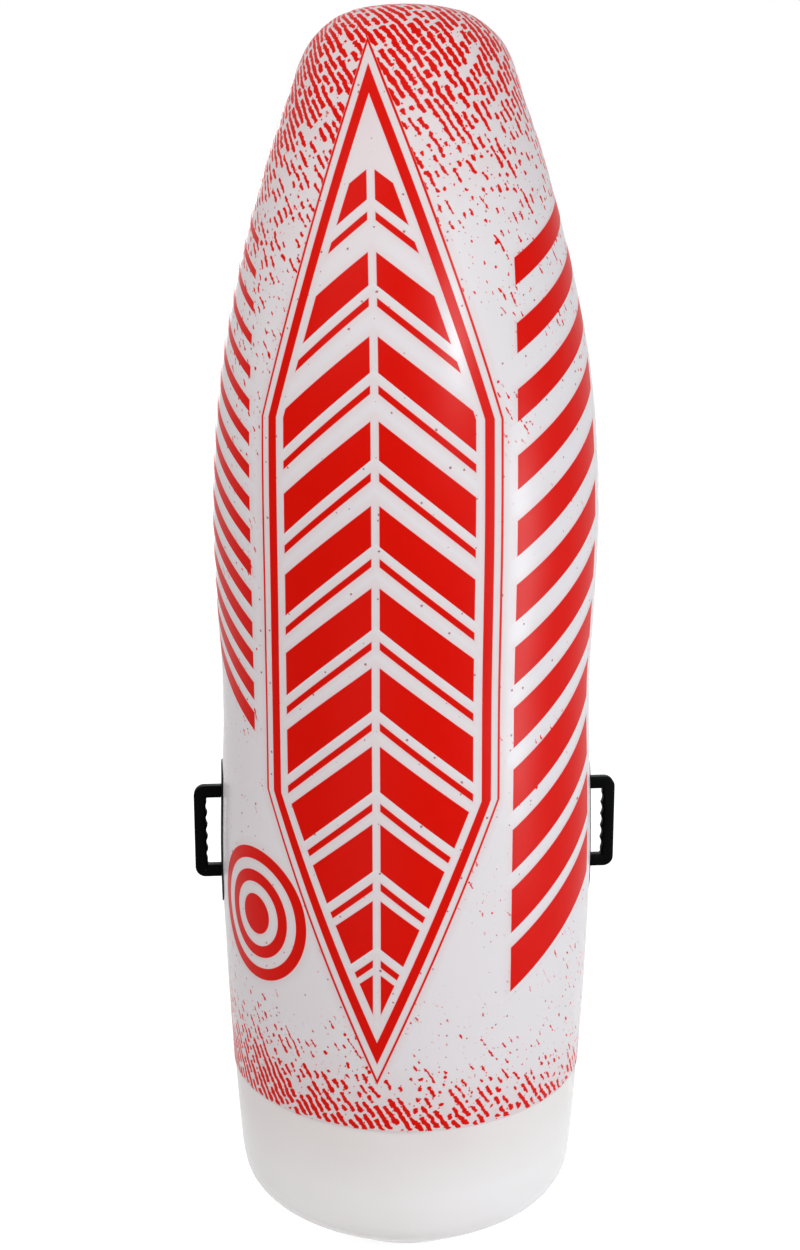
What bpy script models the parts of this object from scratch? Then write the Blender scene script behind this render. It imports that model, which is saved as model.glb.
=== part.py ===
"""Inflatable, self-righting goalkeeper training dummy, built from its separate pieces.

Units are metres, and +Z is up. The origin is the centre of the flat patch that the water-filled
base makes on the ground. The printed front faces -Y, and +X is on its viewer's right.
An azimuth is counted from the front, through the right-hand handle (90) to the back (180).
"""

import math

import bmesh
import bpy
from mathutils import Vector

# Films, and the clearance between pieces that touch
GAP = 0.0003
WALL_FILM = 0.0007
BASE_FILM = 0.0009
DIAPHRAGM_FILM = 0.0006

# Outline of the blown-up skin, from the ground up: heights above the ground, and how much wider
# (a spread) or narrower (a draw) the skin's radius is there than at the station below
BOWL_EDGE_RADIUS = 0.1268
BOWL_SLOPE_DEG = 33.6
CONTACT_FILLET = 0.100
BASE_RADIUS = 0.2880
KNUCKLE_FILLET = 0.060
TANK_SIDE_HEIGHT = 0.200
TANK_SIDE_SPREAD = 0.0090
HEM_HEIGHT = 0.310
HEM_SPREAD = 0.0065
HIP_HEIGHT = 0.680
HIP_SPREAD = 0.0125
WAIST_HEIGHT = 1.000
WAIST_DRAW = 0.0078
CHEST_HEIGHT = 1.270
CHEST_SPREAD = 0.0088

# Outline of the skin near the top: depths below the crown, each with its draw
TOTAL_HEIGHT = 2.050
SHOULDER_DROP = 0.550
SHOULDER_DRAW = 0.0186
NECK_DROP = 0.300
NECK_DRAW = 0.0559
HEAD_DROP = 0.130
HEAD_DRAW = 0.0573
CROWN_DROP = 0.048
CROWN_DRAW = 0.0362
CROWN_TOP_DROP = 0.015
CROWN_TOP_DRAW = 0.0390

# Laps of the welded seams
SEAM_LAP = 0.012
HEM_LAP = 0.012
FLOOR_RADIUS = 0.205
FLOOR_LAP = 0.012

# Facets of the round skin: the front panel takes FRONT_STEPS of the AROUND steps
AROUND = 48
FRONT_STEPS = 32
STEP_DEG = 360.0 / AROUND
SEAM_AZIMUTH = FRONT_STEPS * STEP_DEG / 2

# Water tank, with its diaphragm's bend that far below the hem
WATER_LEVEL = 0.140
DIAPHRAGM_DROP = 0.028
DIAPHRAGM_SAG = 0.045
DIAPHRAGM_SKIRT = 0.014
DIAPHRAGM_FILLET = 0.012

# Handles: height of the centre above the hips, and sizes of the moulded D
HANDLE_RISE = 0.0395
HANDLE_LENGTH = 0.1614
HANDLE_REACH = 0.0470
HANDLE_DEPTH = 0.0200
LEG_HEIGHT = 0.0207
GRIP_WIDTH = 0.0208
HANDLE_CORNER = 0.0175
HANDLE_ROUNDING = 0.0040
FINGER_PITCH = 0.0212
FINGER_HOLLOWS = 5
HOLLOW_DEPTH = 0.0015
CREST_HEIGHT = 0.0017
TIE_HOLE_RADIUS = 0.0018
TIE_HOLE_INSET = 0.0168
TIE_HOLE_RISE = 0.0125
PATCH_LENGTH = 0.2500
PATCH_WIDTH = 0.0850
PATCH_THICKNESS = 0.0020

# Air valve on the back, above the hem: socket welded to the skin, and the insert screwed into it
AIR_VALVE_RISE = 0.190
AIR_FLANGE_RADIUS = 0.042
FLANGE_THICKNESS = 0.0016
SOCKET_RADIUS = 0.0265
SOCKET_BORE = 0.0210
SOCKET_HEIGHT = 0.0100
FILM_HOLE_MARGIN = 0.0015
SEAL_THICKNESS = 0.0015
SEAL_WIDTH = 0.0038
INSERT_WALL = 0.0030
INSERT_LEAD = 0.0060
INSERT_HEAD_RADIUS = 0.0255
INSERT_HEAD = 0.0030
INSERT_NECK_RADIUS = 0.0145
INSERT_BORE = 0.0110
INSERT_NECK_HEIGHT = 0.0120
INSERT_PITCH = 0.0040
INSERT_TURNS = 2.0
FLAP_LAP = 0.0025
FLAP_THICKNESS = 0.0015
FLAP_TAB_WIDTH = 0.0080
FLAP_HINGE_OFFSET = 0.0160

# Water valve on the back of the tank, below the hem
WATER_VALVE_DROP = 0.075
WATER_FLANGE_RADIUS = 0.032
COLLAR_RADIUS = 0.0205
COLLAR_HEIGHT = 0.0045
WATER_NECK_RADIUS = 0.0155
WATER_BORE = 0.0120
WATER_NECK_HEIGHT = 0.0140

# Screw caps with their washers and straps
CAP_WALL = 0.0036
CAP_TOP = 0.0025
CAP_CHAMFER = 0.0010
CAP_PITCH = 0.0030
CAP_TURNS = 1.5
RIB_DEPTH = 0.0007
WASHER_THICKNESS = 0.0012
STUD_RADIUS = 0.0030
STUD_HEAD_RADIUS = 0.0055
STUD_HEAD = 0.0018
STRAP_RING = 0.0018
STRAP_RING_WIDTH = 0.0042
STRAP_BAND = 0.0014
STRAP_WIDTH = 0.0090
STRAP_CLEARANCE = 0.0045
ROUND_STEPS = 32

# Heights and a radius that follow from the sizes above
DIAPHRAGM_HEIGHT = HEM_HEIGHT - DIAPHRAGM_DROP
WATER_VALVE_HEIGHT = HEM_HEIGHT - WATER_VALVE_DROP
AIR_VALVE_HEIGHT = HEM_HEIGHT + AIR_VALVE_RISE
HANDLE_CENTRE = HIP_HEIGHT + HANDLE_RISE
CHEST_RADIUS = BASE_RADIUS + TANK_SIDE_SPREAD + HEM_SPREAD + HIP_SPREAD - WAIST_DRAW + CHEST_SPREAD

# Skins lap over each other at these depths below the nominal outline
FRONT_INSET = 0.0
BACK_INSET = FRONT_INSET + WALL_FILM + GAP
BASE_INSET = BACK_INSET + WALL_FILM + GAP
FLOOR_INSET = BASE_INSET - BASE_FILM - GAP
TANK_INSET = BASE_INSET + BASE_FILM + GAP

COLLECTION_NAME = "goalkeeper_training_dummy"
MERGE_DISTANCE = 0.00001


def empty_scene():
    for old in list(bpy.data.objects):
        bpy.data.objects.remove(old, do_unlink=True)


def add_collection(name):
    collection = bpy.data.collections.new(name)
    bpy.context.scene.collection.children.link(collection)
    return collection


def finish(name, colour, roughness, metallic=0.0, alpha=1.0, coat=0.0):
    """A Principled material."""
    material = bpy.data.materials.new(name)
    material.use_nodes = True
    shader = material.node_tree.nodes["Principled BSDF"]
    shader.inputs["Base Color"].default_value = (*colour, 1.0)
    shader.inputs["Roughness"].default_value = roughness
    shader.inputs["Metallic"].default_value = metallic
    shader.inputs["Alpha"].default_value = alpha
    shader.inputs["Coat Weight"].default_value = coat
    material.diffuse_color = (*colour, alpha)
    return material


# The outline of the skin, as points (radius, height) from the ground's centre to the crown

def fillet_points(before, corner, after, radius, count):
    """Points of the arc that rounds a corner of a polyline."""
    to_before = (before - corner).normalized()
    to_after = (after - corner).normalized()
    half_angle = math.acos(max(-1.0, min(1.0, to_before.dot(to_after)))) / 2
    start = corner + to_before * (radius / math.tan(half_angle))
    centre = corner + (to_before + to_after).normalized() * (radius / math.sin(half_angle))
    first = start - centre
    turn = math.pi - 2 * half_angle
    sign = 1.0 if to_before.x * to_after.y - to_before.y * to_after.x < 0 else -1.0
    points = []
    for index in range(count + 1):
        angle = sign * turn * index / count
        cosine, sine = math.cos(angle), math.sin(angle)
        points.append(centre + Vector((first.x * cosine - first.y * sine,
                                       first.x * sine + first.y * cosine)))
    return points


def smooth_curve(stations, pieces):
    """Points on a smooth curve through the stations. The first and last only give its direction."""
    points = []
    for index in range(1, len(stations) - 2):
        start, end = stations[index], stations[index + 1]
        span = (end - start).length
        leaving = station_slope(stations, index) * span
        arriving = station_slope(stations, index + 1) * span
        for step in range(pieces):
            t = step / pieces
            points.append(start * (2 * t**3 - 3 * t**2 + 1) + leaving * (t**3 - 2 * t**2 + t)
                          + end * (3 * t**2 - 2 * t**3) + arriving * (t**3 - t**2))
    points.append(stations[-2])
    return points


def station_slope(stations, index):
    before = stations[index] - stations[index - 1]
    after = stations[index + 1] - stations[index]
    first, second = before.length, after.length
    return (before / first * second + after / second * first) / (first + second)


def bowl_height(radius):
    """Height of the bowl's straight slope at a radius."""
    return (radius - BOWL_EDGE_RADIUS) * math.tan(math.radians(BOWL_SLOPE_DEG)) - FLOOR_INSET


def skin_outline():
    ground = -FLOOR_INSET
    centre = Vector((0.0, ground))
    bowl_foot = Vector((BOWL_EDGE_RADIUS, ground))
    stations = [Vector((BASE_RADIUS, bowl_height(BASE_RADIUS)))]
    for spread, height in ((TANK_SIDE_SPREAD, TANK_SIDE_HEIGHT), (HEM_SPREAD, HEM_HEIGHT),
                           (HIP_SPREAD, HIP_HEIGHT), (-WAIST_DRAW, WAIST_HEIGHT),
                           (CHEST_SPREAD, CHEST_HEIGHT)):
        stations.append(Vector((stations[-1].x + spread, height)))
    for draw, drop in ((SHOULDER_DRAW, SHOULDER_DROP), (NECK_DRAW, NECK_DROP),
                       (HEAD_DRAW, HEAD_DROP), (CROWN_DRAW, CROWN_DROP),
                       (CROWN_TOP_DRAW, CROWN_TOP_DROP)):
        stations.append(Vector((stations[-1].x - draw, TOTAL_HEIGHT - drop)))
    crown_top = stations[-1]
    stations += [Vector((0.0, TOTAL_HEIGHT)), Vector((-crown_top.x, crown_top.y))]
    points = [centre]
    points += fillet_points(centre, bowl_foot, stations[0], CONTACT_FILLET, 3)
    points += fillet_points(bowl_foot, stations[0], stations[1], KNUCKLE_FILLET, 5)
    points += smooth_curve(stations, 2)
    return points


OUTLINE = skin_outline()


def point_at_height(height):
    for lower, upper in zip(OUTLINE, OUTLINE[1:]):
        if lower.y <= height <= upper.y and upper.y > lower.y:
            return lower.lerp(upper, (height - lower.y) / (upper.y - lower.y))
    return OUTLINE[-1].copy()


def skin_radius(height):
    return point_at_height(height).x


def skin_line(low, high, inset):
    """The outline between two heights, moved inwards by the inset. None means to the end."""
    floor = -math.inf if low is None else low + MERGE_DISTANCE
    ceiling = math.inf if high is None else high - MERGE_DISTANCE
    points = [point.copy() for point in OUTLINE if floor < point.y < ceiling]
    if low is not None:
        points.insert(0, point_at_height(low))
    if high is not None:
        points.append(point_at_height(high))
    return inset_line(points, inset)


def inset_line(points, inset):
    moved = []
    for index, point in enumerate(points):
        before = points[index] - points[index - 1] if index else points[1] - points[0]
        after = points[index + 1] - point if index + 1 < len(points) else before
        first = Vector((-before.y, before.x)).normalized()
        second = Vector((-after.y, after.x)).normalized()
        if point.x < MERGE_DISTANCE:
            moved.append(Vector((0.0, point.y + inset / second.y)))
        else:
            moved.append(point + (first + second) * (inset / (1.0 + first.dot(second))))
    return moved


# Modelling helpers

def add_object(name, mesh, collection, material=None):
    item = bpy.data.objects.new(name, mesh)
    collection.objects.link(item)
    if material is not None:
        item.data.materials.append(material)
    return item


def add_line(name, points, collection, closed=False, material=None, turn_deg=0.0):
    """A profile as a line of edges in the half plane of +X, turned about Z."""
    count = len(points)
    last = count if closed else count - 1
    edges = [(index, (index + 1) % count) for index in range(last)]
    cosine, sine = math.cos(math.radians(turn_deg)), math.sin(math.radians(turn_deg))
    vertices = [(p[0] * cosine, p[0] * sine, p[1]) for p in points]
    mesh = bpy.data.meshes.new(name)
    mesh.from_pydata(vertices, edges, [])
    return add_object(name, mesh, collection, material)


def add_screw(item, steps, sweep_deg=360.0):
    screw = item.modifiers.new("Revolve", "SCREW")
    screw.axis = "Z"
    screw.angle = math.radians(sweep_deg)
    screw.steps = steps
    screw.render_steps = steps
    screw.screw_offset = 0.0
    screw.use_merge_vertices = True
    screw.merge_threshold = MERGE_DISTANCE
    return screw


def add_solidify(item, thickness):
    solidify = item.modifiers.new("Film", "SOLIDIFY")
    solidify.thickness = thickness
    solidify.offset = -1.0
    solidify.use_even_offset = True
    return solidify


def add_boolean(item, operation, tool):
    boolean = item.modifiers.new(operation.capitalize(), "BOOLEAN")
    boolean.operation = operation
    boolean.solver = "EXACT"
    boolean.object = tool
    return boolean


def evaluated_mesh(item):
    """The mesh of an object with its modifiers, in its own coordinates."""
    bpy.context.view_layer.update()
    depsgraph = bpy.context.evaluated_depsgraph_get()
    return bpy.data.meshes.new_from_object(item.evaluated_get(depsgraph))


def take_mesh(item, mesh):
    """Give an object a finished mesh in place of its modifiers."""
    material = item.data.materials[0] if item.data.materials else None
    item.modifiers.clear()
    item.data = mesh
    mesh.materials.clear()
    if material is not None:
        mesh.materials.append(material)


def hide_tool(item):
    item.hide_render = True
    item.display_type = "WIRE"
    return item


def round_off(item, sharp_deg=35.0):
    """Smooth shading with sharp corners kept."""
    item.data.shade_smooth()
    item.data.set_sharp_from_angle(angle=math.radians(sharp_deg))


def add_film(name, points, thickness, collection, material, azimuth=0.0, steps=AROUND):
    """A film revolved about Z from an azimuth, thickened inwards. Its points run down its outside."""
    item = add_line(name, points, collection, material=material, turn_deg=azimuth - 90.0)
    add_screw(item, steps, steps * STEP_DEG)
    item.modifiers["Revolve"].use_smooth_shade = True
    if thickness is not None:
        add_solidify(item, thickness)
    return item


def add_turned(name, profile, collection, material, closed=False, steps=ROUND_STEPS):
    """A turned piece about its own Z. Its profile runs down its outer side."""
    item = add_line(name, profile, collection, closed=closed, material=material)
    add_screw(item, steps)
    take_mesh(item, evaluated_mesh(item))
    round_off(item)
    return item


def add_outline_plate(name, outline, half_thickness, collection, material=None):
    """A flat outline in X and Y, made solid along Z."""
    curve = bpy.data.curves.new(name, "CURVE")
    curve.dimensions = "2D"
    curve.fill_mode = "BOTH"
    curve.extrude = half_thickness
    spline = curve.splines.new("POLY")
    spline.points.add(len(outline) - 1)
    for point, (x, y) in zip(spline.points, outline):
        point.co = (x, y, 0.0, 1.0)
    spline.use_cyclic_u = True
    source = bpy.data.objects.new(name + "_outline", curve)
    collection.objects.link(source)
    mesh = evaluated_mesh(source)
    bpy.data.objects.remove(source, do_unlink=True)
    shape = bmesh.new()
    shape.from_mesh(mesh)
    bmesh.ops.remove_doubles(shape, verts=shape.verts, dist=MERGE_DISTANCE)
    bmesh.ops.recalc_face_normals(shape, faces=shape.faces)
    shape.to_mesh(mesh)
    shape.free()
    mesh.materials.clear()
    return add_object(name, mesh, collection, material)


def soften_caps(mesh, width, segments):
    """Round the edges between a plate's two flat faces and its rim."""
    shape = bmesh.new()
    shape.from_mesh(mesh)
    shape.normal_update()
    bmesh.ops.dissolve_limit(shape, angle_limit=math.radians(1.0), verts=shape.verts, edges=shape.edges)
    edges = [edge for edge in shape.edges
             if len([face for face in edge.link_faces if abs(face.normal.z) > 0.9]) == 1]
    bmesh.ops.bevel(shape, geom=edges, offset=width, segments=segments, profile=0.5,
                    affect="EDGES", clamp_overlap=True)
    shape.to_mesh(mesh)
    shape.free()


def add_cylinder(name, radius, start, end, collection, steps=ROUND_STEPS):
    """A closed cylinder about its own Z from start to end."""
    profile = [(0.0, end), (radius, end), (radius, start), (0.0, start)]
    return add_turned(name, profile, collection, None, steps=steps)


def arc_points(centre_x, centre_y, radius, from_deg, to_deg, count):
    points = []
    for index in range(count + 1):
        angle = math.radians(from_deg + (to_deg - from_deg) * index / count)
        points.append((centre_x + radius * math.cos(angle), centre_y + radius * math.sin(angle)))
    return points


def ring_profile(inner, outer, low, high):
    """A square ring's section, down its outer side and up its inner side."""
    return [(outer, high), (outer, low), (inner, low), (inner, high)]


# Skin, tank and ballast

def make_front_panel(parts, material):
    points = skin_line(HEM_HEIGHT, None, FRONT_INSET)[::-1]
    return add_film("front_panel", points, WALL_FILM, parts, material,
                    azimuth=-SEAM_AZIMUTH, steps=FRONT_STEPS)


def make_back_panel(parts, tools, material):
    """The back panel laps under the front panel along both seams, and has the air valve's hole."""
    points = skin_line(HEM_HEIGHT, None, BACK_INSET)[::-1]
    steps = AROUND - FRONT_STEPS + 2
    item = add_film("back_panel", points, None, parts, material,
                    azimuth=SEAM_AZIMUTH - STEP_DEG, steps=steps)
    mesh = evaluated_mesh(item)
    trim_sector(mesh, SEAM_AZIMUTH - math.degrees(SEAM_LAP / CHEST_RADIUS))
    take_mesh(item, mesh)
    mesh.shade_smooth()
    add_solidify(item, WALL_FILM)
    hole = add_valve_cutter("air_film_hole", SOCKET_BORE + FILM_HOLE_MARGIN, AIR_VALVE_HEIGHT, tools)
    add_boolean(item, "DIFFERENCE", hole)
    return item


def trim_sector(mesh, azimuth):
    """Keep what lies behind the azimuth on each side."""
    angle = math.radians(azimuth - 90.0)
    shape = bmesh.new()
    shape.from_mesh(mesh)
    for side in (1.0, -1.0):
        normal = Vector((side * math.sin(angle), -math.cos(angle), 0.0))
        geometry = shape.verts[:] + shape.edges[:] + shape.faces[:]
        bmesh.ops.bisect_plane(shape, geom=geometry, plane_co=(0.0, 0.0, 0.0), plane_no=normal,
                               clear_outer=True, dist=MERGE_DISTANCE)
    shape.to_mesh(mesh)
    shape.free()


def make_base_wall(parts, tools, material):
    low = bowl_height(FLOOR_RADIUS - FLOOR_LAP)
    points = skin_line(low, HEM_HEIGHT + HEM_LAP, BASE_INSET)[::-1]
    item = add_film("base_wall", points, BASE_FILM, parts, material)
    hole = add_valve_cutter("water_film_hole", WATER_BORE + FILM_HOLE_MARGIN, WATER_VALVE_HEIGHT, tools)
    add_boolean(item, "DIFFERENCE", hole)
    return item


def make_base_floor(parts, material):
    points = skin_line(None, bowl_height(FLOOR_RADIUS), FLOOR_INSET)[::-1]
    return add_film("base_floor", points, BASE_FILM, parts, material)


def make_diaphragm(parts, material):
    """A cup of film inside the tank wall: a welded skirt, and a floor that sags under the air."""
    skirt = skin_line(DIAPHRAGM_HEIGHT, DIAPHRAGM_HEIGHT + DIAPHRAGM_SKIRT, TANK_INSET)[::-1]
    edge = skirt[-1]
    turn = arc_points(edge.x - DIAPHRAGM_FILLET, edge.y, DIAPHRAGM_FILLET, 0.0, -75.0, 2)[1:]
    rim_radius, rim_height = turn[-1]
    dish = []
    rings = 3
    for ring in range(1, rings + 1):
        share = 1.0 - ring / rings
        dish.append((rim_radius * share, rim_height - DIAPHRAGM_SAG * (1.0 - share**2)))
    points = [tuple(p) for p in skirt] + turn + dish
    return add_film("tank_diaphragm", points, DIAPHRAGM_FILM, parts, material)


def make_water(parts, material):
    wall = skin_line(None, WATER_LEVEL, TANK_INSET)[::-1]
    points = [(0.0, wall[0].y)] + [tuple(p) for p in wall]
    item = add_line("water_ballast", points, parts, material=material, turn_deg=-90.0)
    add_screw(item, AROUND)
    return item


# Handles

def finger_edge(inner_x):
    """The grip's inner edge: rounded hollows with a pointed crest between two fingers."""
    swing = HOLLOW_DEPTH + CREST_HEIGHT
    steps_per_finger = 6
    reach = FINGER_HOLLOWS / 2 - 0.2
    count = round(2 * reach * steps_per_finger)
    points = []
    for index in range(count + 1):
        place = reach - 2 * reach * index / count
        offset = swing * abs(math.cos(math.pi * place)) - CREST_HEIGHT
        points.append((inner_x + offset, place * FINGER_PITCH))
    return points


def handle_outline(wall_x):
    """The D seen from the front, with its legs running on into the wall, where they are cut."""
    outer_x = wall_x + HANDLE_REACH
    inner_x = outer_x - GRIP_WIDTH
    root_x = wall_x - HANDLE_REACH / 2
    half = HANDLE_LENGTH / 2
    corner_x = outer_x - HANDLE_CORNER
    corner_y = half - HANDLE_CORNER
    outline = [(root_x, -half)]
    outline += arc_points(corner_x, -corner_y, HANDLE_CORNER, -90.0, 0.0, 5)
    outline += arc_points(corner_x, corner_y, HANDLE_CORNER, 0.0, 90.0, 5)
    outline += [(root_x, half), (root_x, half - LEG_HEIGHT), (inner_x, half - LEG_HEIGHT)]
    outline += finger_edge(inner_x)
    outline += [(inner_x, LEG_HEIGHT - half), (root_x, LEG_HEIGHT - half)]
    return outline


def patch_outline():
    """The weld patch: a long strip with round ends."""
    radius = PATCH_WIDTH / 2
    rise = PATCH_LENGTH / 2 - radius
    return (arc_points(0.0, rise, radius, 0.0, 180.0, 8)
            + arc_points(0.0, -rise, radius, 180.0, 360.0, 8))


def make_handle(side, name, parts, tools, rubber):
    """The weld patch and the moulded handle of one side, +1 on the right and -1 on the left."""
    wall_x = skin_radius(HANDLE_CENTRE)
    azimuth = side * 90.0 - 2 * STEP_DEG
    half_patch = PATCH_LENGTH / 2 + GAP
    low, high = HANDLE_CENTRE - half_patch, HANDLE_CENTRE + half_patch

    patch_line = skin_line(low, high, -GAP - PATCH_THICKNESS)[::-1]
    patch = add_film(name + "_handle_patch", patch_line, PATCH_THICKNESS, parts, rubber, azimuth, 4)
    stencil = hide_tool(add_outline_plate(name + "_patch_stencil", patch_outline(), HANDLE_REACH, tools))
    stencil.rotation_euler = (math.radians(90.0), 0.0, math.radians(90.0))
    stencil.location = (side * wall_x, 0.0, HANDLE_CENTRE)
    add_boolean(patch, "INTERSECT", stencil)

    outline = [(side * x, y) for x, y in handle_outline(wall_x)]
    grip = add_outline_plate(name + "_handle", outline, HANDLE_DEPTH / 2, parts, rubber)
    soften_caps(grip.data, HANDLE_ROUNDING, 2)
    round_off(grip, 50.0)
    grip.rotation_euler = (math.radians(90.0), 0.0, 0.0)
    grip.location = (0.0, 0.0, HANDLE_CENTRE)
    core_line = skin_line(low, high, -PATCH_THICKNESS - 2 * GAP)[::-1]
    core = hide_tool(add_film(name + "_handle_seat", core_line, HANDLE_REACH, tools, None, azimuth, 4))
    add_boolean(grip, "DIFFERENCE", core)
    tie_hole = hide_tool(add_cylinder(name + "_tie_hole", TIE_HOLE_RADIUS, -HANDLE_DEPTH, HANDLE_DEPTH,
                                      tools, steps=12))
    tie_hole.rotation_euler = (math.radians(90.0), 0.0, 0.0)
    tie_hole.location = (side * (wall_x + HANDLE_REACH - TIE_HOLE_INSET), 0.0,
                         HANDLE_CENTRE - HANDLE_LENGTH / 2 + TIE_HOLE_RISE)
    add_boolean(grip, "DIFFERENCE", tie_hole)
    return patch, grip


# Valves: each piece is turned about its own Z, which is then laid along +Y

def face_back(item, seat_y, height):
    item.rotation_euler = (math.radians(-90.0), 0.0, 0.0)
    item.location = (0.0, seat_y, height)
    return item


def add_valve_cutter(name, radius, height, tools):
    """A cylinder through the skin on the back."""
    reach = AIR_FLANGE_RADIUS
    tool = hide_tool(add_cylinder(name, radius, -reach, reach, tools))
    return face_back(tool, skin_radius(height), height)


def make_welded_base(name, height, skin_inset, flange_radius, column, bore, parts, tools, material):
    """A flange that follows the skin, with its turned column, hollow all through.

    The column is a list of (radius, top) steps above the skin, widest first.
    """
    low, high = height - flange_radius - GAP, height + flange_radius + GAP
    foot = flange_radius / 4
    flange_line = skin_line(low, high, skin_inset - GAP - FLANGE_THICKNESS)[::-1]
    item = add_film(name, flange_line, FLANGE_THICKNESS + foot, parts, material, 180.0 - 2 * STEP_DEG, 4)
    skin_y = skin_radius(height) - skin_inset
    disc = hide_tool(add_cylinder(name + "_rim", flange_radius, -flange_radius, flange_radius, tools))
    add_boolean(item, "INTERSECT", face_back(disc, skin_y, height))
    profile = [(0.0, column[-1][1])]
    for (radius, top), (_, lower_top) in zip(column[::-1], column[-2::-1] + [(0.0, -foot)]):
        profile += [(radius, top), (radius, lower_top)]
    profile.append((0.0, -foot))
    neck = hide_tool(add_turned(name + "_column", profile, tools, None))
    add_boolean(item, "UNION", face_back(neck, skin_y, height))
    seat_line = skin_line(low - foot, high + foot, skin_inset - GAP)[::-1]
    seat = hide_tool(add_film(name + "_seat", seat_line, 2 * foot, tools, None, 180.0 - 3 * STEP_DEG, 6))
    add_boolean(item, "DIFFERENCE", seat)
    hole = hide_tool(add_cylinder(name + "_bore", bore, -flange_radius, flange_radius, tools))
    add_boolean(item, "DIFFERENCE", face_back(hole, skin_y, height))
    return item


def rib_rim(item, radius):
    """Press flutes into a turned rim, one at every second facet."""
    for vertex in item.data.vertices:
        reach = math.hypot(vertex.co.x, vertex.co.y)
        if abs(reach - radius) > MERGE_DISTANCE:
            continue
        facet = round(math.atan2(vertex.co.y, vertex.co.x) / (2 * math.pi / ROUND_STEPS))
        if facet % 2:
            vertex.co.x *= (radius - RIB_DEPTH) / radius
            vertex.co.y *= (radius - RIB_DEPTH) / radius
    item.data.set_sharp_from_angle(angle=math.radians(20.0))


def make_screw_cap(prefix, neck_radius, neck_height, seat_y, height, parts, tools, plastic, rubber):
    """A ribbed cap on its neck, the washer under it, and the strap between neck and cap.

    Heights along the axis are counted from the seat, the flat face that the neck stands on.
    """
    inner = neck_radius + GAP
    outer = inner + CAP_WALL
    rise = CAP_PITCH * CAP_TURNS
    rim = 2 * GAP + STRAP_RING
    washer_low = neck_height + GAP
    ceiling = washer_low + WASHER_THICKNESS + GAP
    top = ceiling + CAP_TOP
    ring_low = top + GAP + rise
    stud_head = ring_low + STRAP_RING + GAP

    cap = add_turned(prefix + "_cap", [
        (0.0, stud_head + STUD_HEAD), (STUD_HEAD_RADIUS, stud_head + STUD_HEAD),
        (STUD_HEAD_RADIUS, stud_head), (STUD_RADIUS, stud_head), (STUD_RADIUS, top),
        (outer - CAP_CHAMFER, top), (outer, top - CAP_CHAMFER), (outer, rim),
        (inner, rim), (inner, ceiling), (0.0, ceiling)], parts, plastic)
    rib_rim(cap, outer)
    face_back(cap, seat_y, height)

    washer = add_cylinder(prefix + "_cap_washer", neck_radius, washer_low,
                          washer_low + WASHER_THICKNESS, parts)
    washer.data.materials.append(rubber)
    face_back(washer, seat_y, height)

    bend = STRAP_CLEARANCE
    strap_x = max(outer, inner + STRAP_RING_WIDTH) + bend
    strap_low = GAP + STRAP_RING / 2
    strap_high = ring_low + STRAP_RING / 2
    neck_ring = ring_profile(inner, inner + STRAP_RING_WIDTH, GAP, GAP + STRAP_RING)
    strap = add_turned(prefix + "_cap_strap", neck_ring, parts, rubber, closed=True)
    stud_hole = STUD_RADIUS + GAP
    stud_ring = ring_profile(stud_hole, stud_hole + STRAP_RING_WIDTH, ring_low, ring_low + STRAP_RING)
    loop = hide_tool(add_turned(prefix + "_stud_ring", stud_ring, tools, None, closed=True))
    path = [(stud_hole + STRAP_RING_WIDTH / 2, strap_high)]
    path += arc_points(strap_x - bend, strap_high - bend, bend, 90.0, 0.0, 4)
    path += arc_points(strap_x - bend, strap_low + bend, bend, 0.0, -90.0, 4)
    path.append((inner + STRAP_RING_WIDTH / 2, strap_low))
    band = hide_tool(add_band(prefix + "_strap_band", path, STRAP_WIDTH, STRAP_BAND, tools))
    for tool in (loop, band):
        face_back(tool, seat_y, height)
        add_boolean(strap, "UNION", tool)
    face_back(strap, seat_y, height)
    return cap, washer, strap


def add_band(name, path, width, thickness, collection):
    """A flat band along a path in the half plane of +Y."""
    shape = bmesh.new()
    left = [shape.verts.new((-width / 2, y, z)) for y, z in path]
    right = [shape.verts.new((width / 2, y, z)) for y, z in path]
    for index in range(len(path) - 1):
        shape.faces.new((left[index], left[index + 1], right[index + 1], right[index]))
    mesh = bpy.data.meshes.new(name)
    shape.to_mesh(mesh)
    shape.free()
    item = add_object(name, mesh, collection)
    solidify = add_solidify(item, thickness)
    solidify.offset = 0.0
    return item


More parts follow.
